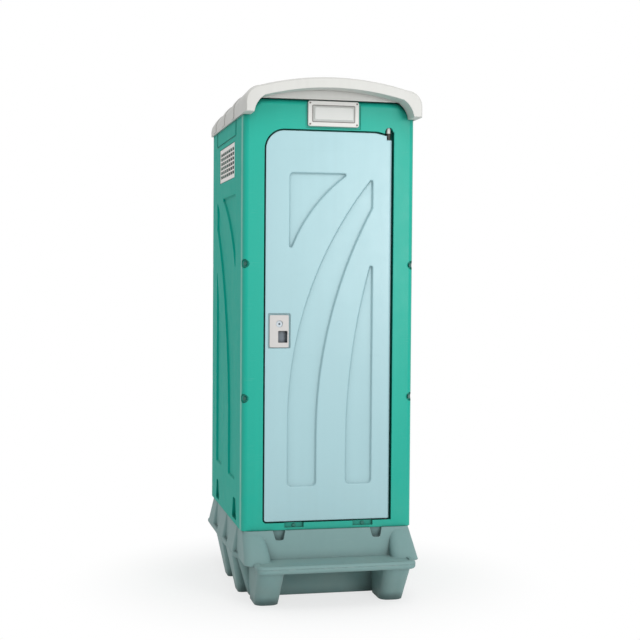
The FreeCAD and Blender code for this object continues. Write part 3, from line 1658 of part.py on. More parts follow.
def flap_pin():
    """Pin of the flap."""
    axis = flap_axis()
    half = flap_lug_width + 6
    return rod(axis - X_AXIS * half, X_AXIS, flap_pin_radius, 2 * half)


def pedal_axis():
    """Point on the pedal's axis, right of the bowl."""
    return V(pedal_x, front_y + pedal_y, floor_top + pedal_rise)


def foot_pedal():
    """Pedal lever: hub, arm and a ribbed tread plate toward the door."""
    axis = pedal_axis()
    half = pedal_width / 2
    hub = rod(axis - X_AXIS * half, X_AXIS, pedal_pin_radius + 6, pedal_width)
    arm = box(axis.x - 12, axis.x + 12, axis.y - pedal_length + 40, axis.y, axis.z - 7, axis.z + 7)
    tread = rounded_box_outline(axis.x - half, axis.x + half, axis.y - pedal_length,
                                axis.y - pedal_length + 90,
                                14, flat(axis.z + 2))
    pad = plate(tread, Z_AXIS * pedal_thick)
    ribs = []
    for index in range(5):
        y = axis.y - pedal_length + 15 + index * 15
        ribs.append(box(axis.x - half + 8, axis.x + half - 8, y, y + 5, axis.z + pedal_thick + 2,
                        axis.z + pedal_thick + 4))
    whole = join([hub, arm, pad] + ribs)
    return whole.cut(rod(axis - X_AXIS * 100, X_AXIS, pedal_pin_radius + pin_fit, 200))


def pedal_bracket():
    """Two cheeks on a floor plate that carry the pedal's pin."""
    axis = pedal_axis()
    inner = pedal_width / 2 + pedal_cheek_gap
    outer = inner + pedal_cheek
    base = box(axis.x - outer, axis.x + outer, axis.y - 25, axis.y + 35, floor_top, floor_top + 5)
    parts = [base]
    for side in (-1, 1):
        x0 = axis.x + min(side * inner, side * outer)
        profile = [
            (axis.y - 22, floor_top, 0),
            (axis.y + 30, floor_top, 0),
            (axis.y + 14, axis.z + 13, 10),
            (axis.y - 14, axis.z + 13, 10),
        ]
        wire = outline(profile, lambda u, v: V(x0, u, v))
        parts.append(plate(wire, X_AXIS * pedal_cheek))
    hole = rod(axis - X_AXIS * 100, X_AXIS, pedal_pin_radius + 0.05, 200)
    return join(parts).cut(hole)


def pedal_pin():
    """Pin of the pedal."""
    axis = pedal_axis()
    half = pedal_width / 2 + pedal_cheek_gap + pedal_cheek
    return rod(axis - X_AXIS * half, X_AXIS, pedal_pin_radius, 2 * half)


# Water tank

def water_neck():
    """Point at the foot of the water tank's filler neck."""
    return V(-110, (front_y + water_front + inner_back) / 2, water_top)


def water_tank():
    """Water tank on the rear wall with a filler neck."""
    body = box(-water_half, water_half, front_y + water_front, inner_back, water_bottom, water_top)
    corners = upright_edges(body, water_half, front_y + water_front)
    corners += upright_edges(body, -water_half, front_y + water_front)
    body = body.makeFillet(water_round, corners)
    neck = rod(water_neck(), Z_AXIS, neck_radius, neck_height)
    room_half = water_half - water_wall
    room = box(-room_half, room_half, front_y + water_front + water_wall, inner_back - water_wall,
               water_bottom + water_wall, water_top - water_wall)
    mouth = rod(water_neck() - Z_AXIS * (water_wall + 1), Z_AXIS, neck_radius - neck_wall, neck_height + 20)
    outlet = V(0, water_neck().y, water_bottom - 1)
    drain = rod(outlet, Z_AXIS, pipe_radius + 0.05, water_wall + 2)
    return join([body, neck]).cut(room).cut(mouth).cut(drain)


def filler_cap():
    """Screw cap on the filler neck."""
    base = water_neck() + Z_AXIS * wall_gap
    cap = rod(base, Z_AXIS, cap_radius, cap_height)
    cap = cap.cut(rod(base - Z_AXIS, Z_AXIS, neck_radius + screw_fit, neck_height + 1 + wall_gap))
    grips = []
    for index in range(8):
        angle = math.radians(45 * index)
        centre = base + V(math.cos(angle), math.sin(angle), 0) * cap_radius
        grips.append(rod(centre, Z_AXIS, 3.5, cap_height - 3))
    return join([cap] + grips).cut(rod(base - Z_AXIS, Z_AXIS, neck_radius + screw_fit,
                                       neck_height + 1 + wall_gap))


def flush_pipe():
    """Pipe from the water tank down and forward to the bowl's spigot."""
    x = 0.0
    y = water_neck().y
    top = water_bottom + water_wall
    level = bowl_rim - 15
    bend = pipe_bend
    end_y = seat_hinge_y + 22
    sag = bend * (1 - math.sqrt(0.5))
    path = [
        Part.makeLine(V(x, y, top), V(x, y, level + bend)),
        Part.Arc(V(x, y, level + bend), V(x, y - sag, level + sag),
                 V(x, y - bend, level)).toShape(),
    ]
    if y - bend - end_y > 0.01:
        path.append(Part.makeLine(V(x, y - bend, level), V(x, end_y, level)))
    ring = Part.Wire(Part.makeCircle(pipe_radius, V(x, y, top), Z_AXIS))
    outer = Part.Wire(path).makePipeShell([ring], True, False)
    bore_ring = Part.Wire(Part.makeCircle(pipe_radius - 3, V(x, y, top), Z_AXIS))
    bore = Part.Wire(path).makePipeShell([bore_ring], True, False)
    return outer.cut(bore)


# Paper holder

def cover_hinge():
    """Point on the hinge axis of the paper cover."""
    angle = math.radians(cover_hinge_angle)
    reach = cover_inner + cover_thick / 2 + 3
    return V(paper_x + reach * math.cos(angle), paper_centre_y, paper_z + reach * math.sin(angle))


def paper_bracket():
    """Wall plate with two cheeks for the roll and the cover."""
    half = paper_length / 2 + paper_side_gap
    plate_half = half + cheek_thick
    wall_plate = box(-inner_half, -inner_half + paper_plate, paper_centre_y - plate_half,
                     paper_centre_y + plate_half,
                     paper_z - 40, paper_z + 75)
    parts = [wall_plate]
    hinge = cover_hinge()
    for near in (paper_centre_y - plate_half, paper_centre_y + half):
        profile = [
            (-inner_half, paper_z - 30, 0),
            (paper_x + paper_bore, paper_z - 30, 12),
            (paper_x + paper_bore, paper_z + 22, 12),
            (hinge.x + 12, hinge.z + 8, 8),
            (-inner_half, hinge.z + 8, 0),
        ]
        wire = outline(profile, across(near))
        parts.append(plate(wire, Y_AXIS * cheek_thick))
    whole = join(parts)
    whole = whole.cut(rod(V(paper_x, paper_centre_y - 200, paper_z), Y_AXIS, 6.05, 400))
    return whole.cut(rod(hinge - Y_AXIS * 200, Y_AXIS, cover_pin_radius + 0.05, 400))


def paper_spindle():
    """Spindle on which the roll turns, with thin ends in the cheeks."""
    half = paper_length / 2 + paper_side_gap
    drum = rod(V(paper_x, paper_centre_y - half + 0.5, paper_z), Y_AXIS, paper_bore - paper_fit, 2 * half - 1)
    ends = rod(V(paper_x, paper_centre_y - half - cheek_thick, paper_z), Y_AXIS, 6, 2 * (half + cheek_thick))
    return join([drum, ends])


def paper_roll():
    """Roll of paper on the spindle."""
    near = paper_centre_y - paper_length / 2
    roll = rod(V(paper_x, near, paper_z), Y_AXIS, paper_radius, paper_length)
    return roll.cut(rod(V(paper_x, near - 1, paper_z), Y_AXIS, paper_bore, paper_length + 2))


def paper_cover():
    """Curved cover over the roll, which hinges up and tears the paper with its front edge."""
    half = paper_length / 2 + paper_side_gap - 1
    near = paper_centre_y - half
    length = 2 * half
    centre = V(paper_x, near, paper_z)
    sweep = cover_hinge_angle - cover_front_angle
    outer = Part.makeCylinder(cover_inner + cover_thick, length, centre, Y_AXIS)
    shell = outer.cut(Part.makeCylinder(cover_inner, length, centre, Y_AXIS))
    start = math.radians(cover_front_angle)
    end = math.radians(cover_front_angle + sweep)
    middle = (start + end) / 2
    far = 2.2 * cover_inner
    corners = [V(paper_x, near, paper_z)]
    for angle in (start, middle, end):
        corners.append(V(paper_x + far * math.cos(angle), near, paper_z + far * math.sin(angle)))
    wedge = Part.Face(Part.makePolygon(corners + [corners[0]])).extrude(Y_AXIS * length)
    shell = shell.common(wedge)
    hinge = cover_hinge()
    hub_start = V(hinge.x, near, hinge.z)
    hub = rod(hub_start, Y_AXIS, cover_hub_radius, length)
    whole = join([shell, hub])
    return whole.cut(rod(hub_start - Y_AXIS, Y_AXIS, cover_pin_radius + pin_fit, length + 2))


def cover_pin():
    """Pin of the paper cover."""
    half = paper_length / 2 + paper_side_gap + cheek_thick
    return rod(cover_hinge() - Y_AXIS * half, Y_AXIS, cover_pin_radius, 2 * half)


# Stack, shelf, hook and suction port

def vent_pipe():
    """Vent stack from the tank through the roof."""
    foot = V(stack_x, front_y + stack_y, base_height)
    tall = stack_top - base_height
    bore = rod(foot - Z_AXIS, Z_AXIS, stack_radius - stack_wall, tall + 2)
    return rod(foot, Z_AXIS, stack_radius, tall).cut(bore)


def vent_cap():
    """Rain cap on the stack: a ring, four posts and a cone."""
    foot = V(stack_x, front_y + stack_y, stack_top - 10)
    ring = rod(foot, Z_AXIS, stack_radius + 4, 14)
    ring = ring.cut(rod(foot - Z_AXIS, Z_AXIS, stack_radius + 0.05, 11))
    ring = ring.cut(rod(foot - Z_AXIS, Z_AXIS, stack_radius - stack_wall, 20))
    cone_foot = foot + Z_AXIS * (14 + stack_cap_lift)
    cone = Part.makeCone(stack_cap_radius, 8, stack_cap_height, cone_foot, Z_AXIS)
    posts = []
    for index in range(4):
        angle = math.radians(45 + 90 * index)
        place = foot + V(math.cos(angle), math.sin(angle), 0) * (stack_radius + 0.5)
        posts.append(rod(place + Z_AXIS * 12, Z_AXIS, 3, stack_cap_lift + 4))
    return join([ring, cone] + posts)


def pipe_clips():
    """Two clips that hold the stack to the rear wall."""
    shapes = []
    for height in clip_heights:
        foot = V(stack_x, front_y + stack_y, height)
        ring = rod(foot, Z_AXIS, stack_radius + clip_thick, clip_height)
        arm = box(stack_x - 10, stack_x + 10, foot.y, inner_back, height, height + clip_height)
        hole = rod(foot - Z_AXIS, Z_AXIS, stack_radius + 0.05, clip_height + 2)
        shapes.append(join([ring, arm]).cut(hole))
    return Part.makeCompound(shapes)


def corner_shelf():
    """Small shelf in the rear left corner with a rim along its edge."""
    x = -inner_half
    y = inner_back
    corners = [(x, y, 0), (x, y - shelf_reach, 12), (x + shelf_reach, y, 12)]
    slab = plate(outline(corners, flat(shelf_z)), Z_AXIS * (shelf_thick + shelf_rim))
    inset = 6.0
    cut_corners = [(x + inset, y - inset, 0), (x + inset, y - shelf_reach + 3 * inset, 8),
                   (x + shelf_reach - 3 * inset, y - inset, 8)]
    tray = plate(outline(cut_corners, flat(shelf_z + shelf_thick)), Z_AXIS * (shelf_rim + 1))
    return slab.cut(tray)


def coat_hook():
    """Hook on the left wall."""
    x = -inner_half
    y = front_y + hook_y
    base = rounded_box_outline(y - 16, y + 16, hook_z - 30, hook_z + 30, 8, lambda u, v: V(x, u, v))
    back = plate(base, X_AXIS * 5)
    profile = [
        (x, hook_z - 20, 0),
        (x + hook_reach, hook_z - 8, 8),
        (x + hook_reach, hook_z + 18, 4),
        (x + hook_reach - 9, hook_z + 18, 4),
        (x + hook_reach - 9, hook_z + 2, 5),
        (x, hook_z - 2, 0),
    ]
    arm = plate(outline(profile, across(y - 6)), Y_AXIS * 12)
    return join([back, arm])


def suction_port():
    """Neck with a flange at the rear of the tank, where it is emptied."""
    face = back_y + suction_boss_face
    neck = rod(V(suction_x, back_y - 30, suction_z), Y_AXIS, suction_neck,
               30 + suction_boss_face + suction_neck_length)
    flange = rod(V(suction_x, face, suction_z), Y_AXIS, suction_flange, 5)
    bore = rod(V(suction_x, back_y - 40, suction_z), Y_AXIS, suction_bore, 100)
    return join([neck, flange]).cut(bore)


def suction_cap_part():
    """Cap on the suction neck with two grip wings."""
    near = back_y + suction_boss_face + 5 + wall_gap
    centre = V(suction_x, near, suction_z)
    cap = rod(centre, Y_AXIS, suction_cap, suction_cap_length)
    cap = cap.cut(rod(centre - Y_AXIS, Y_AXIS, suction_neck + screw_fit, suction_neck_length - 4 + 1))
    wing = box(suction_x - 30, suction_x + 30, near + suction_cap_length - 1, near + suction_cap_length + 2,
               suction_z - 5, suction_z + 5)
    return join([cap, wing])


parts = {
    "tank_lower": tank_lower,
    "tank_upper": tank_upper,
    "floor_panel": floor_panel,
    "front_wall": front_wall,
    "left_wall": side_wall,
    "right_wall": lambda: mirrored(side_wall()),
    "back_wall": back_wall,
    "roof": roof,
    "left_vent_grille": vent_grille,
    "right_vent_grille": lambda: mirrored(vent_grille()),
    "corner_bolts": corner_bolts,
    "sill_bolts": sill_bolts,
    "lamp_frame": lamp_frame,
    "lamp_lens": lamp_lens,
    "lamp_board": lamp_board,
    "lamp_screws": lamp_screws,
    "hinge_pin_top": hinge_pin_top,
    "hinge_pin_bottom": hinge_pin_bottom,
    "hinge_collar_top": hinge_collar_top,
    "hinge_bush_top": hinge_bush_top,
    "hinge_washer_bottom": hinge_washer_bottom,
    "door_panel": door_panel,
    "door_bumpers": door_bumpers,
    "latch_plate": latch_plate,
    "latch_cup": latch_cup,
    "indicator_dial": indicator_dial,
    "lock_case": lock_case,
    "lock_bolt": lock_bolt,
    "thumb_turn": thumb_turn,
    "strike_plate": strike_plate,
    "inside_pull": inside_pull,
    "bowl_pedestal": bowl_pedestal,
    "toilet_bowl": toilet_bowl,
    "drop_tube": drop_tube,
    "seat": seat,
    "lid": lid,
    "seat_hinge_pin": seat_hinge_pin,
    "seat_hinge_blocks": seat_hinge_blocks,
    "seat_bumpers": seat_bumpers,
    "flap_valve": flap_valve,
    "flap_bracket": flap_bracket,
    "flap_pin": flap_pin,
    "foot_pedal": foot_pedal,
    "pedal_bracket": pedal_bracket,
    "pedal_pin": pedal_pin,
    "water_tank": water_tank,
    "filler_cap": filler_cap,
    "flush_pipe": flush_pipe,
    "paper_bracket": paper_bracket,
    "paper_spindle": paper_spindle,
    "paper_roll": paper_roll,
    "paper_cover": paper_cover,
    "cover_pin": cover_pin,
    "vent_pipe": vent_pipe,
    "vent_cap": vent_cap,
    "pipe_clips": pipe_clips,
    "corner_shelf": corner_shelf,
    "coat_hook": coat_hook,
    "suction_port": suction_port,
    "suction_cap": suction_cap_part,
}

os.makedirs("parts", exist_ok=True)
for name, make in parts.items():
    shape = make()
    shape.exportStep(os.path.join("parts", name + ".step"))
    solids = len(shape.Solids)
    print(f"{name:22s} solids {solids:2d}  valid {shape.isValid()}  volume {shape.Volume / 1e6:8.3f} L")
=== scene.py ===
# %% [markdown]
# # A portable toilet cabin
# The cabin is a stack of large plastic mouldings: a grey tank base with a step, green walls, a pale
# blue door and an off-white roof. This lesson dresses the exact solids with finishes that behave like
# moulded plastic, then adds the few soft details that a solid model leaves out.

# %% Load the frame
import bmesh
import bpy
import json
import math
from mathutils import Matrix, Vector


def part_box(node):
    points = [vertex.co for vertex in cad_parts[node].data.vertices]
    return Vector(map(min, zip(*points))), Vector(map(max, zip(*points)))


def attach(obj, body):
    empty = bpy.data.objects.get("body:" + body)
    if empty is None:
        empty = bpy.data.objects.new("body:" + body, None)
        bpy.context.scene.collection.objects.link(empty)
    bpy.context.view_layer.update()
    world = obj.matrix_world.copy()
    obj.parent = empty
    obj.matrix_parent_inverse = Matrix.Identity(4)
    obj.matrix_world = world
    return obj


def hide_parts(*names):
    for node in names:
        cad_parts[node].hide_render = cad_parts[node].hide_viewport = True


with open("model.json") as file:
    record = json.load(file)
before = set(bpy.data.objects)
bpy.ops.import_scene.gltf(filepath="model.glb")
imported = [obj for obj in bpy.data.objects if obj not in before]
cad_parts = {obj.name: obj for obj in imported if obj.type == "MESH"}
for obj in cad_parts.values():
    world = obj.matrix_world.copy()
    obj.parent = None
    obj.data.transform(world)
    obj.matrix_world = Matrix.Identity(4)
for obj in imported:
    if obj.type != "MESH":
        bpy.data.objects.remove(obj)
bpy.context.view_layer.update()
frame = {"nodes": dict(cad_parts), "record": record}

# %% [markdown]
# ## The camera
# A photograph fixes where the camera stood. The straight edges of the walls and the door meet in
# vanishing points, and these give the lens, the direction and the place. The matrix is built from the
# three directions of the view, because that keeps the small roll which a look-at helper would drop.
# Angles are in radians, places in metres.

# %% Place the camera
VIEW_YAW = 0.219
VIEW_PITCH = 0.0328
VIEW_ROLL = -0.0074
VIEW_PLACE = Vector((-1.419, -6.608, 1.591))
FOCAL_PIXELS = 1286.75
FRAME_PIXELS = 640
SENSOR = 36.0


def camera_matrix(place, yaw, pitch, roll):
    """Matrix of a camera that looks along +Y at yaw 0, turned to the right and tipped down."""
    ahead = Vector((math.sin(yaw) * math.cos(pitch), math.cos(yaw) * math.cos(pitch), -math.sin(pitch)))
    right_level = Vector((math.cos(yaw), -math.sin(yaw), 0.0))
    down_level = ahead.cross(right_level)
    right = math.cos(roll) * right_level + math.sin(roll) * down_level
    down = -math.sin(roll) * right_level + math.cos(roll) * down_level
    turn = Matrix((right, -down, -ahead)).transposed().to_4x4()
    return Matrix.Translation(place) @ turn


camera_data = bpy.data.cameras.new("photo_camera")
camera_data.sensor_width = SENSOR
camera_data.lens = FOCAL_PIXELS / FRAME_PIXELS * SENSOR
camera_data.clip_end = 60.0
camera = bpy.data.objects.new("photo_camera", camera_data)
camera.matrix_world = camera_matrix(VIEW_PLACE, VIEW_YAW, VIEW_PITCH, VIEW_ROLL)
bpy.context.scene.collection.objects.link(camera)
bpy.context.scene.camera = camera
bpy.context.scene.view_settings.view_transform = "Standard"
print("lens mm", round(camera_data.lens, 2))

# %% [markdown]
# ## The floor
# The cabin stands in a white studio. The floor has to catch a soft shadow and still melt into the
# background, so its far part turns into plain white for the eye of the camera. More light on the object
# would do it too, but would bleach the pale roof.

# %% Lay the floor
FLOOR_SIZE = 40.0
FLOOR_GAP = 0.0005
FADE_START = 0.55
FADE_END = 1.35
FADE_AT_CABIN = 0.72

scene = bpy.context.scene


def new_material(name):
    """Empty material with a Principled shader, returned with its nodes and links."""
    material = bpy.data.materials.new(name)
    material.use_nodes = True
    return material, material.node_tree.nodes, material.node_tree.links


def looked_at(nodes, links):
    """Value of 1 for rays that the eye follows: straight, by reflection or through a clear piece."""
    path = nodes.new("ShaderNodeLightPath").outputs
    reflected = nodes.new("ShaderNodeMath")
    reflected.operation = "MAXIMUM"
    any_way = nodes.new("ShaderNodeMath")
    any_way.operation = "MAXIMUM"
    links.new(path["Is Camera Ray"], reflected.inputs[0])
    links.new(path["Is Glossy Ray"], reflected.inputs[1])
    links.new(reflected.outputs["Value"], any_way.inputs[0])
    links.new(path["Is Transmission Ray"], any_way.inputs[1])
    return any_way.outputs["Value"]


def studio_floor():
    """Pale floor that keeps the shadow near the object and fades to white far from it."""
    bpy.ops.mesh.primitive_plane_add(size=FLOOR_SIZE, location=(0, 0, -FLOOR_GAP))
    floor = bpy.context.object
    floor.name = "studio_floor"
    material, nodes, links = new_material("studio_floor")
    shader = nodes["Principled BSDF"]
    shader.inputs["Base Color"].default_value = (0.93, 0.93, 0.93, 1)
    shader.inputs["Roughness"].default_value = 0.9
    glow = nodes.new("ShaderNodeEmission")
    glow.inputs["Color"].default_value = (1, 1, 1, 1)
    place = nodes.new("ShaderNodeTexCoord")
    reach = nodes.new("ShaderNodeVectorMath")
    reach.operation = "LENGTH"
    fade = nodes.new("ShaderNodeMapRange")
    fade.inputs["From Min"].default_value = FADE_START
    fade.inputs["From Max"].default_value = FADE_END
    fade.inputs["To Min"].default_value = FADE_AT_CABIN
    fade.interpolation_type = "SMOOTHSTEP"
    both = nodes.new("ShaderNodeMath")
    both.operation = "MULTIPLY"
    blend = nodes.new("ShaderNodeMixShader")
    links.new(place.outputs["Object"], reach.inputs[0])
    links.new(reach.outputs["Value"], fade.inputs["Value"])
    links.new(fade.outputs["Result"], both.inputs[0])
    links.new(looked_at(nodes, links), both.inputs[1])
    links.new(both.outputs["Value"], blend.inputs["Fac"])
    links.new(shader.outputs["BSDF"], blend.inputs[1])
    links.new(glow.outputs["Emission"], blend.inputs[2])
    links.new(blend.outputs["Shader"], nodes["Material Output"].inputs["Surface"])
    floor.data.materials.append(material)
    return floor


floor_plane = studio_floor()
print("floor metres", round(floor_plane.dimensions.x, 2))

# %% [markdown]
# ## Backdrop and lamps
# The surroundings are white to the eye, but give less light than they show, so that the sides of the
# cabin that face away stay darker than the front. A large lamp at the front right gives the main light,
# and a weaker one above lifts the step and the roof. Both are wide, because a cloudy sky casts no hard
# shadow.

# %% Light the studio
SKY_AS_LIGHT = 0.66


def studio_world():
    """White surroundings for the camera and for reflections, and a softer level as light."""
    world = bpy.data.worlds.new("studio")
    world.use_nodes = True
    nodes = world.node_tree.nodes
    links = world.node_tree.links
    back = nodes["Background"]
    back.inputs["Color"].default_value = (1, 1, 1, 1)
    level = nodes.new("ShaderNodeMapRange")
    level.inputs["To Min"].default_value = SKY_AS_LIGHT
    level.inputs["To Max"].default_value = 1.0
    links.new(looked_at(nodes, links), level.inputs["Value"])
    links.new(level.outputs["Result"], back.inputs["Strength"])
    scene.world = world


def soft_lamp(name, place, target, size, power):
    """Large square lamp that points at a target."""
    data = bpy.data.lights.new(name, "AREA")
    data.size = size
    data.energy = power
    lamp = bpy.data.objects.new(name, data)
    lamp.location = place
    lamp.rotation_euler = (Vector(target) - Vector(place)).to_track_quat("-Z", "Y").to_euler()
    scene.collection.objects.link(lamp)


studio_world()
soft_lamp("key_front_right", place=(2.6, -6.3, 2.15), target=(0, 0, 1.1), size=1.9, power=128)
soft_lamp("top_front", place=(0.2, -2.6, 4.6), target=(0, -0.5, 0.3), size=1.6, power=38)

# %% [markdown]
# ## Small helpers for shader trees
# A shader tree is easier to read when a formula in code looks like a formula. These helpers place a node,
# link what is a socket, set what is a plain number, and hand back the output.

# %% Define the helpers
# A mix node repeats its socket names for each kind of data, so its colours are picked by place
FIRST_COLOUR = 6
SECOND_COLOUR = 7
MIXED_COLOUR = 2


def feed(links, value, socket):
    """Links an output into a socket, or sets the socket to a plain value."""
    if isinstance(value, (int, float, tuple)):
        socket.default_value = value
    else:
        links.new(value, socket)


class Tree:
    """Places nodes in one shader tree and returns their outputs."""

    def __init__(self, owner):
        self.nodes = owner.nodes
        self.links = owner.links
        self.place = self.nodes.new("ShaderNodeTexCoord").outputs["Object"]

    def maths(self, operation, *values):
        """One arithmetic step on one to three values."""
        node = self.nodes.new("ShaderNodeMath")
        node.operation = operation
        for index, value in enumerate(values):
            feed(self.links, value, node.inputs[index])
        return node.outputs["Value"]

    def spread(self, value, low, high, to_low=0.0, to_high=1.0):
        """Maps a value from one range to another, held at both ends."""
        node = self.nodes.new("ShaderNodeMapRange")
        for name, part in (("Value", value), ("From Min", low), ("From Max", high),
                           ("To Min", to_low), ("To Max", to_high)):
            feed(self.links, part, node.inputs[name])
        return node.outputs["Result"]

    def noise(self, scale, detail=2.0, stretch=None):
        """Soft noise on the object's own position, stretched along an axis where asked."""
        where = self.place
        if stretch:
            turn = self.nodes.new("ShaderNodeMapping")
            turn.inputs["Scale"].default_value = stretch
            self.links.new(where, turn.inputs["Vector"])
            where = turn.outputs["Vector"]
        node = self.nodes.new("ShaderNodeTexNoise")
        node.inputs["Scale"].default_value = scale
        node.inputs["Detail"].default_value = detail
        self.links.new(where, node.inputs["Vector"])
        return node.outputs["Fac"]

    def swing(self, noise, amount):
        """Turns noise between 0 and 1 into a value that swings round zero by an amount."""
        return self.maths("MULTIPLY", self.maths("SUBTRACT", noise, 0.5), amount)

    def scaled(self, vector, amount):
        """Multiplies a colour or a direction by a value."""
        node = self.nodes.new("ShaderNodeVectorMath")
        node.operation = "SCALE"
        self.links.new(vector, node.inputs[0])
        self.links.new(amount, node.inputs["Scale"])
        return node.outputs["Vector"]

    def upward(self, vector):
        """The upward part of a place or a direction."""
        node = self.nodes.new("ShaderNodeSeparateXYZ")
        self.links.new(vector, node.inputs["Vector"])
        return node.outputs["Z"]

    def blend(self, amount, first, second):
        """Mixes two colours."""
        node = self.nodes.new("ShaderNodeMix")
        node.data_type = "RGBA"
        feed(self.links, amount, node.inputs["Factor"])
        feed(self.links, first, node.inputs[FIRST_COLOUR])
        feed(self.links, second, node.inputs[SECOND_COLOUR])
        return node.outputs[MIXED_COLOUR]

    def bump(self, height, strength, distance, normal=None):
        """Turns a height into a normal, on top of another normal where given."""
        node = self.nodes.new("ShaderNodeBump")
        node.inputs["Distance"].default_value = distance
        feed(self.links, strength, node.inputs["Strength"])
        self.links.new(height, node.inputs["Height"])
        if normal is not None:
            self.links.new(normal, node.inputs["Normal"])
        return node.outputs["Normal"]


def group_sockets(group, rows):
    """Adds named sockets to a shader group from rows of name, kind, way and start value."""
    kinds = {"colour": "NodeSocketColor", "value": "NodeSocketFloat", "normal": "NodeSocketVector"}
    for name, kind, way, value in rows:
        socket = group.interface.new_socket(name=name, in_out=way, socket_type=kinds[kind])
        if value is not None:
            socket.default_value = value


print("shader helpers", [name for name in vars(Tree) if not name.startswith("_")])

# %% [markdown]
# ## Soft edges and worn edges
# No moulding has a knife edge: every corner is rounded by one to several millimetres, and catches a thin
# line of light. The solids keep their larger radii, and this group rounds the rest in the shading. The same
# rounded normal, set against the flat one, also finds the edges, where plastic turns pale from knocks.

# %% Make the edge group


def edge_group():
    """Shader group: a normal with softened edges, and a patchy mask along them."""
    group = bpy.data.node_groups.new("soft_edges", "ShaderNodeTree")
    group_sockets(group, [
        ("Radius", "value", "INPUT", 0.002),
        ("Normal", "normal", "OUTPUT", None),
        ("Edge Mask", "value", "OUTPUT", None),
    ])
    tree = Tree(group)
    inside = group.nodes.new("NodeGroupInput")
    outside = group.nodes.new("NodeGroupOutput")
    bevel = group.nodes.new("ShaderNodeBevel")
    bevel.samples = 4
    flat = group.nodes.new("ShaderNodeNewGeometry")
    likeness = group.nodes.new("ShaderNodeVectorMath")
    likeness.operation = "DOT_PRODUCT"
    group.links.new(inside.outputs["Radius"], bevel.inputs["Radius"])
    group.links.new(bevel.outputs["Normal"], likeness.inputs[0])
    group.links.new(flat.outputs["Normal"], likeness.inputs[1])
    bent = tree.spread(likeness.outputs["Value"], low=0.995, high=0.85)
    patches = tree.spread(tree.noise(scale=24.0, detail=4.0), low=0.42, high=0.62)
    group.links.new(tree.maths("MULTIPLY", bent, patches), outside.inputs["Edge Mask"])
    group.links.new(bevel.outputs["Normal"], outside.inputs["Normal"])
    return group


soft_edges = edge_group()
print("edge group sockets", len(soft_edges.interface.items_tree))

# %% [markdown]
# ## Moulded plastic
# Large mouldings are never a single flat tone. The tool's grain gives a fine pebble, cooling leaves long
# shallow waves, the resin varies a little, rain leaves faint upright streaks, and dust settles near the
# ground. Whatever faces up takes a dusty tone, which is partly dust and partly painted warm light. Corners
# and seams get painted shade: an ambient occlusion node finds what lies close to another surface and
# darkens its colour. One group makes all of it from the position on the object, so that the grain has one
# scale on every wall. Each material sets its own amounts.

# %% Make the moulded surface group
HAZE = 0.14
DUST_ROUGHNESS = 0.5
WEAR_ROUGHNESS = 0.2


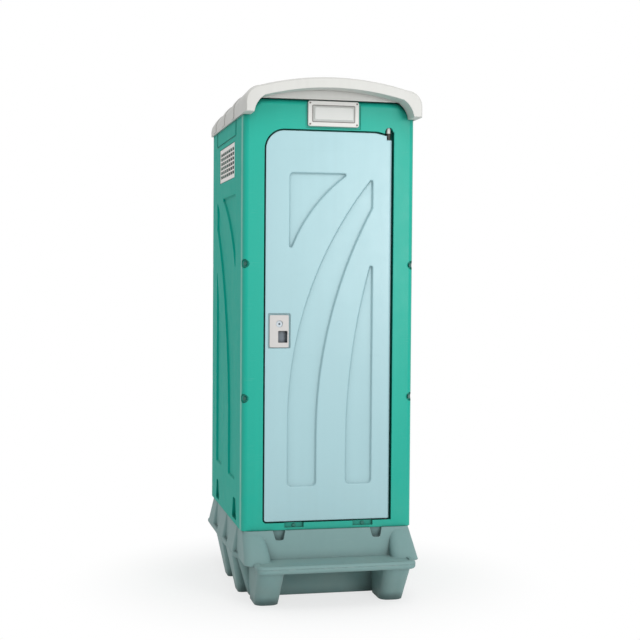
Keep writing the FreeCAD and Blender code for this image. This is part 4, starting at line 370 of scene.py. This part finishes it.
def moulded_group():
    """Shader group for moulded plastic: tone, streaks, dust and painted top light, scuffs, painted shade,
    grain and waves.
    """
    group = bpy.data.node_groups.new("moulded_surface", "ShaderNodeTree")
    group_sockets(group, [
        ("Resin", "colour", "INPUT", (0.5, 0.5, 0.5, 1)),
        ("Dust Tone", "colour", "INPUT", (0.36, 0.33, 0.27, 1)),
        ("Worn Tone", "colour", "INPUT", (0.7, 0.7, 0.7, 1)),
        ("Tone Change", "value", "INPUT", 0.06),
        ("Streaks", "value", "INPUT", 0.05),
        ("Dust", "value", "INPUT", 0.15),
        ("Dust Height", "value", "INPUT", 0.5),
        ("Scuffs", "value", "INPUT", 0.1),
        ("Edge Wear", "value", "INPUT", 0.2),
        ("Edge Radius", "value", "INPUT", 0.002),
        ("Base Roughness", "value", "INPUT", 0.45),
        ("Grain", "value", "INPUT", 0.08),
        ("Waves", "value", "INPUT", 0.12),
        ("Grime", "value", "INPUT", 0.3),
        ("Grime Reach", "value", "INPUT", 0.03),
        ("Color", "colour", "OUTPUT", None),
        ("Roughness", "value", "OUTPUT", None),
        ("Normal", "normal", "OUTPUT", None),
    ])
    tree = Tree(group)
    nodes, links = group.nodes, group.links
    inside = nodes.new("NodeGroupInput").outputs
    outside = nodes.new("NodeGroupOutput").inputs

    drift = tree.swing(tree.noise(scale=2.2, detail=3.0), inside["Tone Change"])
    rain = tree.noise(scale=1.0, detail=4.0, stretch=(34.0, 34.0, 0.8))
    streaks = tree.swing(rain, inside["Streaks"])
    toned = tree.scaled(inside["Resin"], tree.maths("ADD", tree.maths("ADD", drift, streaks), 1.0))

    edges = nodes.new("ShaderNodeGroup")
    edges.node_tree = soft_edges
    links.new(inside["Edge Radius"], edges.inputs["Radius"])
    worn = tree.maths("MULTIPLY", edges.outputs["Edge Mask"], inside["Edge Wear"])

    facing = nodes.new("ShaderNodeNewGeometry").outputs["Normal"]
    near_ground = tree.spread(tree.upward(tree.place), low=0.0, high=inside["Dust Height"],
                              to_low=1.0, to_high=0.0)
    # Upward faces take the dust tone, which stands partly for dust and partly for painted warm light on the
    # tops.
    dust_and_light_on_top = tree.spread(tree.upward(facing), low=0.75, high=1.0, to_high=0.8)
    patches = tree.spread(tree.noise(scale=9.0, detail=6.0), low=0.3, high=0.75)
    dust_and_light_mask = tree.maths("MULTIPLY", tree.maths("MAXIMUM", near_ground, dust_and_light_on_top), patches)
    dust = tree.maths("MULTIPLY", dust_and_light_mask, inside["Dust"])

    lines = tree.noise(scale=1.0, detail=3.0, stretch=(14.0, 90.0, 420.0))
    scratches = tree.spread(lines, low=0.60, high=0.70)
    rubbed = tree.spread(tree.noise(scale=5.0, detail=3.0), low=0.48, high=0.66)
    scuffs = tree.maths("MULTIPLY", tree.maths("MULTIPLY", scratches, rubbed), inside["Scuffs"])

    dusty_and_lit = tree.blend(dust, toned, inside["Dust Tone"])
    pale = tree.maths("MAXIMUM", worn, scuffs)
    aged = tree.blend(pale, dusty_and_lit, inside["Worn Tone"])

    # Painted shade: the colour darkens where an ambient occlusion node finds another surface close by.
    shelter = nodes.new("ShaderNodeAmbientOcclusion")
    shelter.samples = 6
    links.new(inside["Grime Reach"], shelter.inputs["Distance"])
    sheltered = tree.spread(shelter.outputs["AO"], low=0.95, high=0.35)
    grime = tree.maths("MULTIPLY", sheltered, inside["Grime"])
    links.new(tree.scaled(aged, tree.maths("SUBTRACT", 1.0, grime)), outside["Color"])

    haze = tree.swing(tree.noise(scale=14.0, detail=4.0), HAZE)
    hazy = tree.maths("ADD", inside["Base Roughness"], haze)
    rough = tree.maths("ADD", hazy, tree.maths("MULTIPLY", dust, DUST_ROUGHNESS))
    rubbed_rough = tree.maths("ADD", rough, tree.maths("MULTIPLY", pale, WEAR_ROUGHNESS))
    links.new(rubbed_rough, outside["Roughness"])

    wavy = tree.bump(tree.noise(scale=3.5, detail=1.0), inside["Waves"], distance=0.006,
                     normal=edges.outputs["Normal"])
    grainy = tree.bump(tree.noise(scale=420.0), inside["Grain"], distance=0.0006, normal=wavy)
    links.new(grainy, outside["Normal"])
    return group


moulded = moulded_group()
print("moulded group sockets", len(moulded.interface.items_tree))

# %% [markdown]
# ## One material for each kind of plastic
# The walls, the door, the roof and the tank come from different tools, so each has its own resin, grain
# and gloss. The shader stays in the material and only takes what varies from the group. Colours are the
# resin's own, a little deeper than they look in the photograph, because the gloss adds some white.

# %% Make the plastic materials
# Worn plastic keeps a share of its colour and turns paler by a fixed step
WORN_SHARE = 0.45
WORN_STEP = 0.40


def plastic(name, resin, gloss=0.5, **amounts):
    """Moulded plastic of one resin, with its own amounts for the surface group."""
    material, nodes, links = new_material(name)
    shader = nodes["Principled BSDF"]
    shader.inputs["IOR"].default_value = 1.5
    shader.inputs["Specular IOR Level"].default_value = gloss
    surface = nodes.new("ShaderNodeGroup")
    surface.node_tree = moulded
    surface.inputs["Resin"].default_value = (*resin, 1)
    pale = tuple(WORN_SHARE * part + WORN_STEP for part in resin)
    surface.inputs["Worn Tone"].default_value = (*pale, 1)
    for amount, value in amounts.items():
        surface.inputs[amount.replace("_", " ").title()].default_value = value
    links.new(surface.outputs["Color"], shader.inputs["Base Color"])
    links.new(surface.outputs["Roughness"], shader.inputs["Roughness"])
    links.new(surface.outputs["Normal"], shader.inputs["Normal"])
    return material


# Each plastic's painted shade amount darkens its colour in corners and seams.
finishes = {
    "green_shell": plastic("wall_green", (0.006, 0.385, 0.290), gloss=0.28, base_roughness=0.38,
                           dust_height=0.75, dust=0.10, streaks=0.07, edge_radius=0.004, edge_wear=0.1,
                           grime=0.55, grime_reach=0.04),
    "door_blue": plastic("door_pale_blue", (0.350, 0.550, 0.590), base_roughness=0.34, waves=0.2,
                         dust_height=0.75, dust=0.12, tone_change=0.05, edge_radius=0.007, edge_wear=0.0,
                         grime=0.6, grime_reach=0.04),
    "roof_white": plastic("roof_off_white", (0.585, 0.585, 0.560), base_roughness=0.5, dust=0.25,
                          dust_height=0.05, streaks=0.08),
    # The tank's tread and other upward faces get dust together with painted warm light.
    "tank_grey": plastic("tank_grey_green", (0.190, 0.315, 0.310), gloss=0.18, base_roughness=0.5,
                         grain=0.2, dust=0.2, dust_height=0.3, scuffs=0.12, edge_wear=0.35,
                         edge_radius=0.006, grime=0.55, grime_reach=0.05),
    "white_plastic": plastic("fitting_white", (0.66, 0.655, 0.63), base_roughness=0.38, dust=0.0,
                             edge_radius=0.0012),
    "floor_grey": plastic("floor_dark_grey", (0.13, 0.14, 0.145), base_roughness=0.6, grain=0.3, dust=0.3,
                          dust_height=0.4, scuffs=0.7),
    "bowl_ivory": plastic("bowl_ivory", (0.70, 0.68, 0.60), base_roughness=0.2, grain=0.0, dust=0.0,
                          scuffs=0.03),
    "dark_bush": plastic("bush_dark", (0.030, 0.022, 0.018), base_roughness=0.4, dust=0.0, scuffs=0.05,
                         edge_radius=0.001),
    "dial_blue": plastic("dial_dark_blue", (0.012, 0.030, 0.060), base_roughness=0.35, dust=0.0,
                         edge_radius=0.001),
    "board_white": plastic("board_white", (0.62, 0.64, 0.62), base_roughness=0.6, dust=0.0),
    "pipe_grey": plastic("pipe_grey", (0.36, 0.37, 0.37), base_roughness=0.4, dust=0.0,
                         edge_radius=0.0012),
    "rubber_black": plastic("rubber_black", (0.018, 0.018, 0.018), gloss=0.3, base_roughness=0.75,
                            grain=0.25, dust=0.0, edge_wear=0.0, edge_radius=0.001),
}
print("plastics", len(finishes))

# %% [markdown]
# ## Finishes of single parts
# Some parts share a slot in the record and still look different. The side walls come from larger tools
# than the door's frame and are duller, the grilles are a whiter plastic, the bolts in the corner pockets
# are dark and smooth, and the latch is a warmer white with painted shade round its cup. Each such part gets
# its own finish, under the name of its node.

# %% Make the finishes of single parts
side_green = plastic("side_wall_green", (0.004, 0.400, 0.310), gloss=0.06, base_roughness=0.55,
                     dust_height=0.75, dust=0.10, streaks=0.09, edge_radius=0.004, edge_wear=0.1,
                     grime=0.55, grime_reach=0.04)
grille_white = plastic("grille_white", (0.80, 0.79, 0.76), base_roughness=0.4, dust=0.0,
                       edge_radius=0.001)
own_finishes = {
    "left_wall": side_green,
    "right_wall": side_green,
    "left_vent_grille": grille_white,
    "right_vent_grille": grille_white,
    "corner_bolts": plastic("bolt_dark_green", (0.010, 0.120, 0.095), base_roughness=0.22, dust=0.0,
                            edge_radius=0.0015),
    "sill_bolts": plastic("bolt_green", (0.010, 0.170, 0.130), base_roughness=0.22, dust=0.0,
                          edge_radius=0.0015),
    "lamp_screws": plastic("screw_bronze", (0.085, 0.055, 0.045), base_roughness=0.3, dust=0.0,
                           edge_radius=0.0006),
    # The latch plate and its cup get strong painted shade in and round the cup.
    "latch_plate": plastic("latch_warm_white", (0.560, 0.545, 0.530), base_roughness=0.42, dust=0.0,
                           edge_radius=0.002, grime=0.5, grime_reach=0.012),
    "indicator_dial": plastic("dial_pale", (0.570, 0.640, 0.690), base_roughness=0.3, dust=0.0,
                              edge_radius=0.001),
    "latch_cup": plastic("latch_cup_grey", (0.170, 0.205, 0.240), base_roughness=0.35, dust=0.0,
                         edge_radius=0.001, grime=0.8, grime_reach=0.02),
}
print("parts with a finish of their own", len(own_finishes))

# %% [markdown]
# ## Steel, lens and paper
# Brushed steel has fine lines along one way, so a noise that is stretched along one axis drives its
# roughness. The lamp's lens is milky, so it scatters light inside rather than showing what lies behind.
# Paper is rough all over, and its fibres are a fine noise that lifts the surface a little.

# %% Make the other materials


def brushed_steel():
    """Steel with fine stretched lines."""
    material, nodes, links = new_material("brushed_steel")
    tree = Tree(material.node_tree)
    shader = nodes["Principled BSDF"]
    shader.inputs["Base Color"].default_value = (0.56, 0.56, 0.55, 1)
    shader.inputs["Metallic"].default_value = 1.0
    lines = tree.noise(scale=1.0, stretch=(900.0, 900.0, 30.0))
    rough = tree.spread(lines, low=0.0, high=1.0, to_low=0.24, to_high=0.42)
    links.new(rough, shader.inputs["Roughness"])
    return material


def milky_lens():
    """Ribbed milky plastic of the lamp."""
    material, nodes, links = new_material("lens_milky")
    tree = Tree(material.node_tree)
    shader = nodes["Principled BSDF"]
    shader.inputs["Base Color"].default_value = (0.58, 0.59, 0.57, 1)
    shader.inputs["Roughness"].default_value = 0.22
    shader.inputs["Subsurface Weight"].default_value = 0.35
    shader.inputs["Subsurface Radius"].default_value = (0.01, 0.01, 0.01)
    ribs = nodes.new("ShaderNodeTexWave")
    ribs.bands_direction = "X"
    ribs.inputs["Scale"].default_value = 60.0
    links.new(tree.place, ribs.inputs["Vector"])
    relief = tree.bump(ribs.outputs["Fac"], strength=0.25, distance=0.001)
    links.new(relief, shader.inputs["Normal"])
    return material


def soft_paper():
    """Soft white paper with a fibrous surface."""
    material, nodes, links = new_material("paper_soft")
    tree = Tree(material.node_tree)
    shader = nodes["Principled BSDF"]
    shader.inputs["Base Color"].default_value = (0.82, 0.81, 0.78, 1)
    shader.inputs["Roughness"].default_value = 0.95
    fibre = tree.noise(scale=260.0, detail=8.0)
    links.new(tree.bump(fibre, strength=0.35, distance=0.0008), shader.inputs["Normal"])
    return material


finishes["steel"] = brushed_steel()
finishes["lens_white"] = milky_lens()
finishes["paper_white"] = soft_paper()
print("finishes", sorted(finishes))

# %% [markdown]
# ## Dress the solids
# Each solid keeps its mesh. It takes a finish of its own where it has one, and otherwise the finish of
# the slot that the record names for it. Reading the names from the record keeps both in step.

# %% Assign the finishes
for part in frame["record"]["subparts"]:
    node = frame["nodes"][part["node"]]
    node.data.materials.clear()
    finish = own_finishes.get(part["node"], finishes[part["material_slot"]])
    node.data.materials.append(finish)

# %% [markdown]
# ## Small helpers for meshes
# The few pieces that the solids lack are built point by point. What turns round an axis, such as a tube
# or a hub, comes from one closed profile, because a profile is easy to read and to change.

# %% Define the mesh helpers


def box_corners(name):
    """Lower and upper corner of a part's box."""
    low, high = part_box(name)
    return Vector(low), Vector(high)


def finish_mesh(build, name):
    """Turns a built mesh into a smooth-shaded object in the scene."""
    bmesh.ops.recalc_face_normals(build, faces=build.faces)
    mesh = bpy.data.meshes.new(name)
    build.to_mesh(mesh)
    build.free()
    for face in mesh.polygons:
        face.use_smooth = True
    piece = bpy.data.objects.new(name, mesh)
    scene.collection.objects.link(piece)
    return piece


def turned(name, centre, axis, profile, steps=48):
    """Piece turned round an axis from a closed profile of (distance along the axis, radius)."""
    build = bmesh.new()
    middle = Vector(centre)
    along = Vector(axis).normalized()
    side = along.orthogonal().normalized()
    other = along.cross(side)
    rings = []
    for step in range(steps):
        angle = 2 * math.pi * step / steps
        out = math.cos(angle) * side + math.sin(angle) * other
        rings.append([build.verts.new(middle + along * far + out * radius) for far, radius in profile])
    for first, second in zip(rings, rings[1:] + rings[:1]):
        for index in range(len(profile)):
            following = (index + 1) % len(profile)
            build.faces.new((first[index], second[index], second[following], first[following]))
    return finish_mesh(build, name)


print("roll's box mm", [[round(part * 1000, 1) for part in corner] for corner in box_corners("paper_roll")])

# %% [markdown]
# ## The paper roll
# The solid of the roll is a plain ring, and a real one is a sheet that winds outward over a cardboard
# tube. A spiral strip of faces gives the layers on both ends, and a Solidify modifier gives the sheet its
# thickness. The layers wander a little, as they do on a used roll, and the last bit of the sheet lifts.

# %% Wind the paper
SHEET_TURNS = 20
STEPS_PER_TURN = 48
SHEET_THICK = 0.0012
SHEET_INSET = 0.001
FIRST_ANGLE = -0.35
LAYER_WANDER = ((0.0005, 2.3), (0.0003, 9.1))
LIFTED_STEPS = 6
LIFT_PER_STEP = 0.0004
CORE_INNER = 0.0200
CORE_OUTER = 0.0216
CORE_EDGE = 0.0003


def wound_sheet(low, high):
    """Strip of faces that winds outward round the Y axis inside a box."""
    centre = (low + high) / 2
    inner = CORE_OUTER + SHEET_THICK
    outer = (high.x - low.x) / 2 - SHEET_THICK / 2
    steps = SHEET_TURNS * STEPS_PER_TURN
    build = bmesh.new()
    rows = []
    for step in range(steps + 1):
        turn = step / STEPS_PER_TURN
        lift = LIFT_PER_STEP * max(0, step - steps + LIFTED_STEPS)
        radius = inner + (outer - inner) * step / steps + lift
        angle = FIRST_ANGLE - 2 * math.pi * turn
        wander = sum(width * math.sin(turn * pace) for width, pace in LAYER_WANDER)
        x = centre.x + radius * math.cos(angle)
        z = centre.z + radius * math.sin(angle)
        depths = (low.y + SHEET_INSET + wander, centre.y, high.y - SHEET_INSET + wander)
        rows.append([build.verts.new((x, y, z)) for y in depths])
    for first, second in zip(rows, rows[1:]):
        for index in range(len(first) - 1):
            build.faces.new((first[index], first[index + 1], second[index + 1], second[index]))
    return finish_mesh(build, "wound_paper")


def cardboard():
    """Grey-brown board with coarse fibres."""
    material, nodes, links = new_material("cardboard")
    tree = Tree(material.node_tree)
    shader = nodes["Principled BSDF"]
    shader.inputs["Roughness"].default_value = 0.9
    fibre = tree.noise(scale=90.0, detail=6.0, stretch=(1.0, 6.0, 1.0))
    board = tree.blend(fibre, (0.23, 0.17, 0.11, 1), (0.40, 0.31, 0.22, 1))
    links.new(board, shader.inputs["Base Color"])
    links.new(tree.bump(fibre, strength=0.3, distance=0.0004), shader.inputs["Normal"])
    return material


roll_low, roll_high = box_corners("paper_roll")
sheet = wound_sheet(roll_low, roll_high)
thickness = sheet.modifiers.new("sheet_thickness", "SOLIDIFY")
thickness.thickness = SHEET_THICK
thickness.offset = 0.0
sheet.data.materials.append(finishes["paper_white"])
roll_centre = (roll_low + roll_high) / 2
half_length = (roll_high.y - roll_low.y) / 2
core_profile = [(-half_length, CORE_INNER), (half_length, CORE_INNER),
                (half_length, CORE_OUTER), (-half_length, CORE_OUTER)]
core = turned("cardboard_core", roll_centre, (0, 1, 0), core_profile)
rounded = core.modifiers.new("cut_edges", "BEVEL")
rounded.width = CORE_EDGE
core.data.materials.append(cardboard())
for piece in (sheet, core):
    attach(piece, "roll")
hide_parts("paper_roll")
print("turns of paper", SHEET_TURNS, "faces", len(sheet.data.polygons))

# %% [markdown]
# ## The lock's indicator
# Behind the round window of the latch plate sits a pale disc with a small dark hub in its middle. The
# hub is turned from a profile with a shallow dish, and it rides on the lock's turning body, so that it
# moves with the disc behind it.

# %% Make the hub of the indicator
HUB_RADIUS = 0.0048
HUB_RISE = 0.0016
HUB_SUNK = 0.0004
HUB_EYE = 0.0002
HUB_STEPS = 32

dial_low, dial_high = box_corners("indicator_dial")
dial_face = Vector(((dial_low.x + dial_high.x) / 2, dial_low.y, (dial_low.z + dial_high.z) / 2))
hub_profile = [(-HUB_SUNK, HUB_EYE), (-HUB_SUNK, HUB_RADIUS), (HUB_RISE * 0.6, HUB_RADIUS),
               (HUB_RISE, HUB_RADIUS * 0.8), (HUB_RISE * 0.9, HUB_RADIUS * 0.45), (HUB_RISE * 0.4, HUB_EYE)]
hub = turned("indicator_hub", dial_face, (0, -1, 0), hub_profile, HUB_STEPS)
hub.data.materials.append(finishes["dial_blue"])
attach(hub, "lock_turn")
print("hub over the dial mm", round(HUB_RISE * 1000, 2))

# %% [markdown]
# ## The lamp's gasket
# A thin dark line runs round the lens where a gasket seals it in the frame. A closed path with rounded
# corners gets a round section, and the curve is turned into a mesh, because a seal isn't a cord.

# %% Make the gasket
GASKET_RADIUS = 0.0013
GASKET_CORNER = 0.006


def corner_path(left, right, bottom, top, corner, steps=6):
    """Points of a rectangle with rounded corners, as pairs across and up."""
    middles = ((right - corner, top - corner, 0), (left + corner, top - corner, 90),
               (left + corner, bottom + corner, 180), (right - corner, bottom + corner, 270))
    points = []
    for middle_x, middle_z, start in middles:
        for step in range(steps + 1):
            angle = math.radians(start + 90 * step / steps)
            points.append((middle_x + corner * math.cos(angle), middle_z + corner * math.sin(angle)))
    return points


lens_low, lens_high = box_corners("lamp_lens")
frame_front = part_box("lamp_frame")[0][1]
path = bpy.data.curves.new("gasket_path", "CURVE")
path.dimensions = "3D"
path.bevel_depth = GASKET_RADIUS
path.bevel_resolution = 2
line = path.splines.new("POLY")
outline = corner_path(lens_low.x, lens_high.x, lens_low.z, lens_high.z, GASKET_CORNER)
line.points.add(len(outline) - 1)
for point, (across, up) in zip(line.points, outline):
    point.co = (across, frame_front, up, 1)
line.use_cyclic_u = True
path_object = bpy.data.objects.new("gasket_path", path)
gasket = bpy.data.objects.new("lens_gasket", bpy.data.meshes.new_from_object(path_object))
bpy.data.objects.remove(path_object)
scene.collection.objects.link(gasket)
gasket.data.materials.clear()
gasket_rubber = plastic("gasket_grey_brown", (0.16, 0.13, 0.12), base_roughness=0.6, dust=0.0)
gasket.data.materials.append(gasket_rubber)
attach(gasket, "cabin")
print("gasket faces", len(gasket.data.polygons))

# %% [markdown]
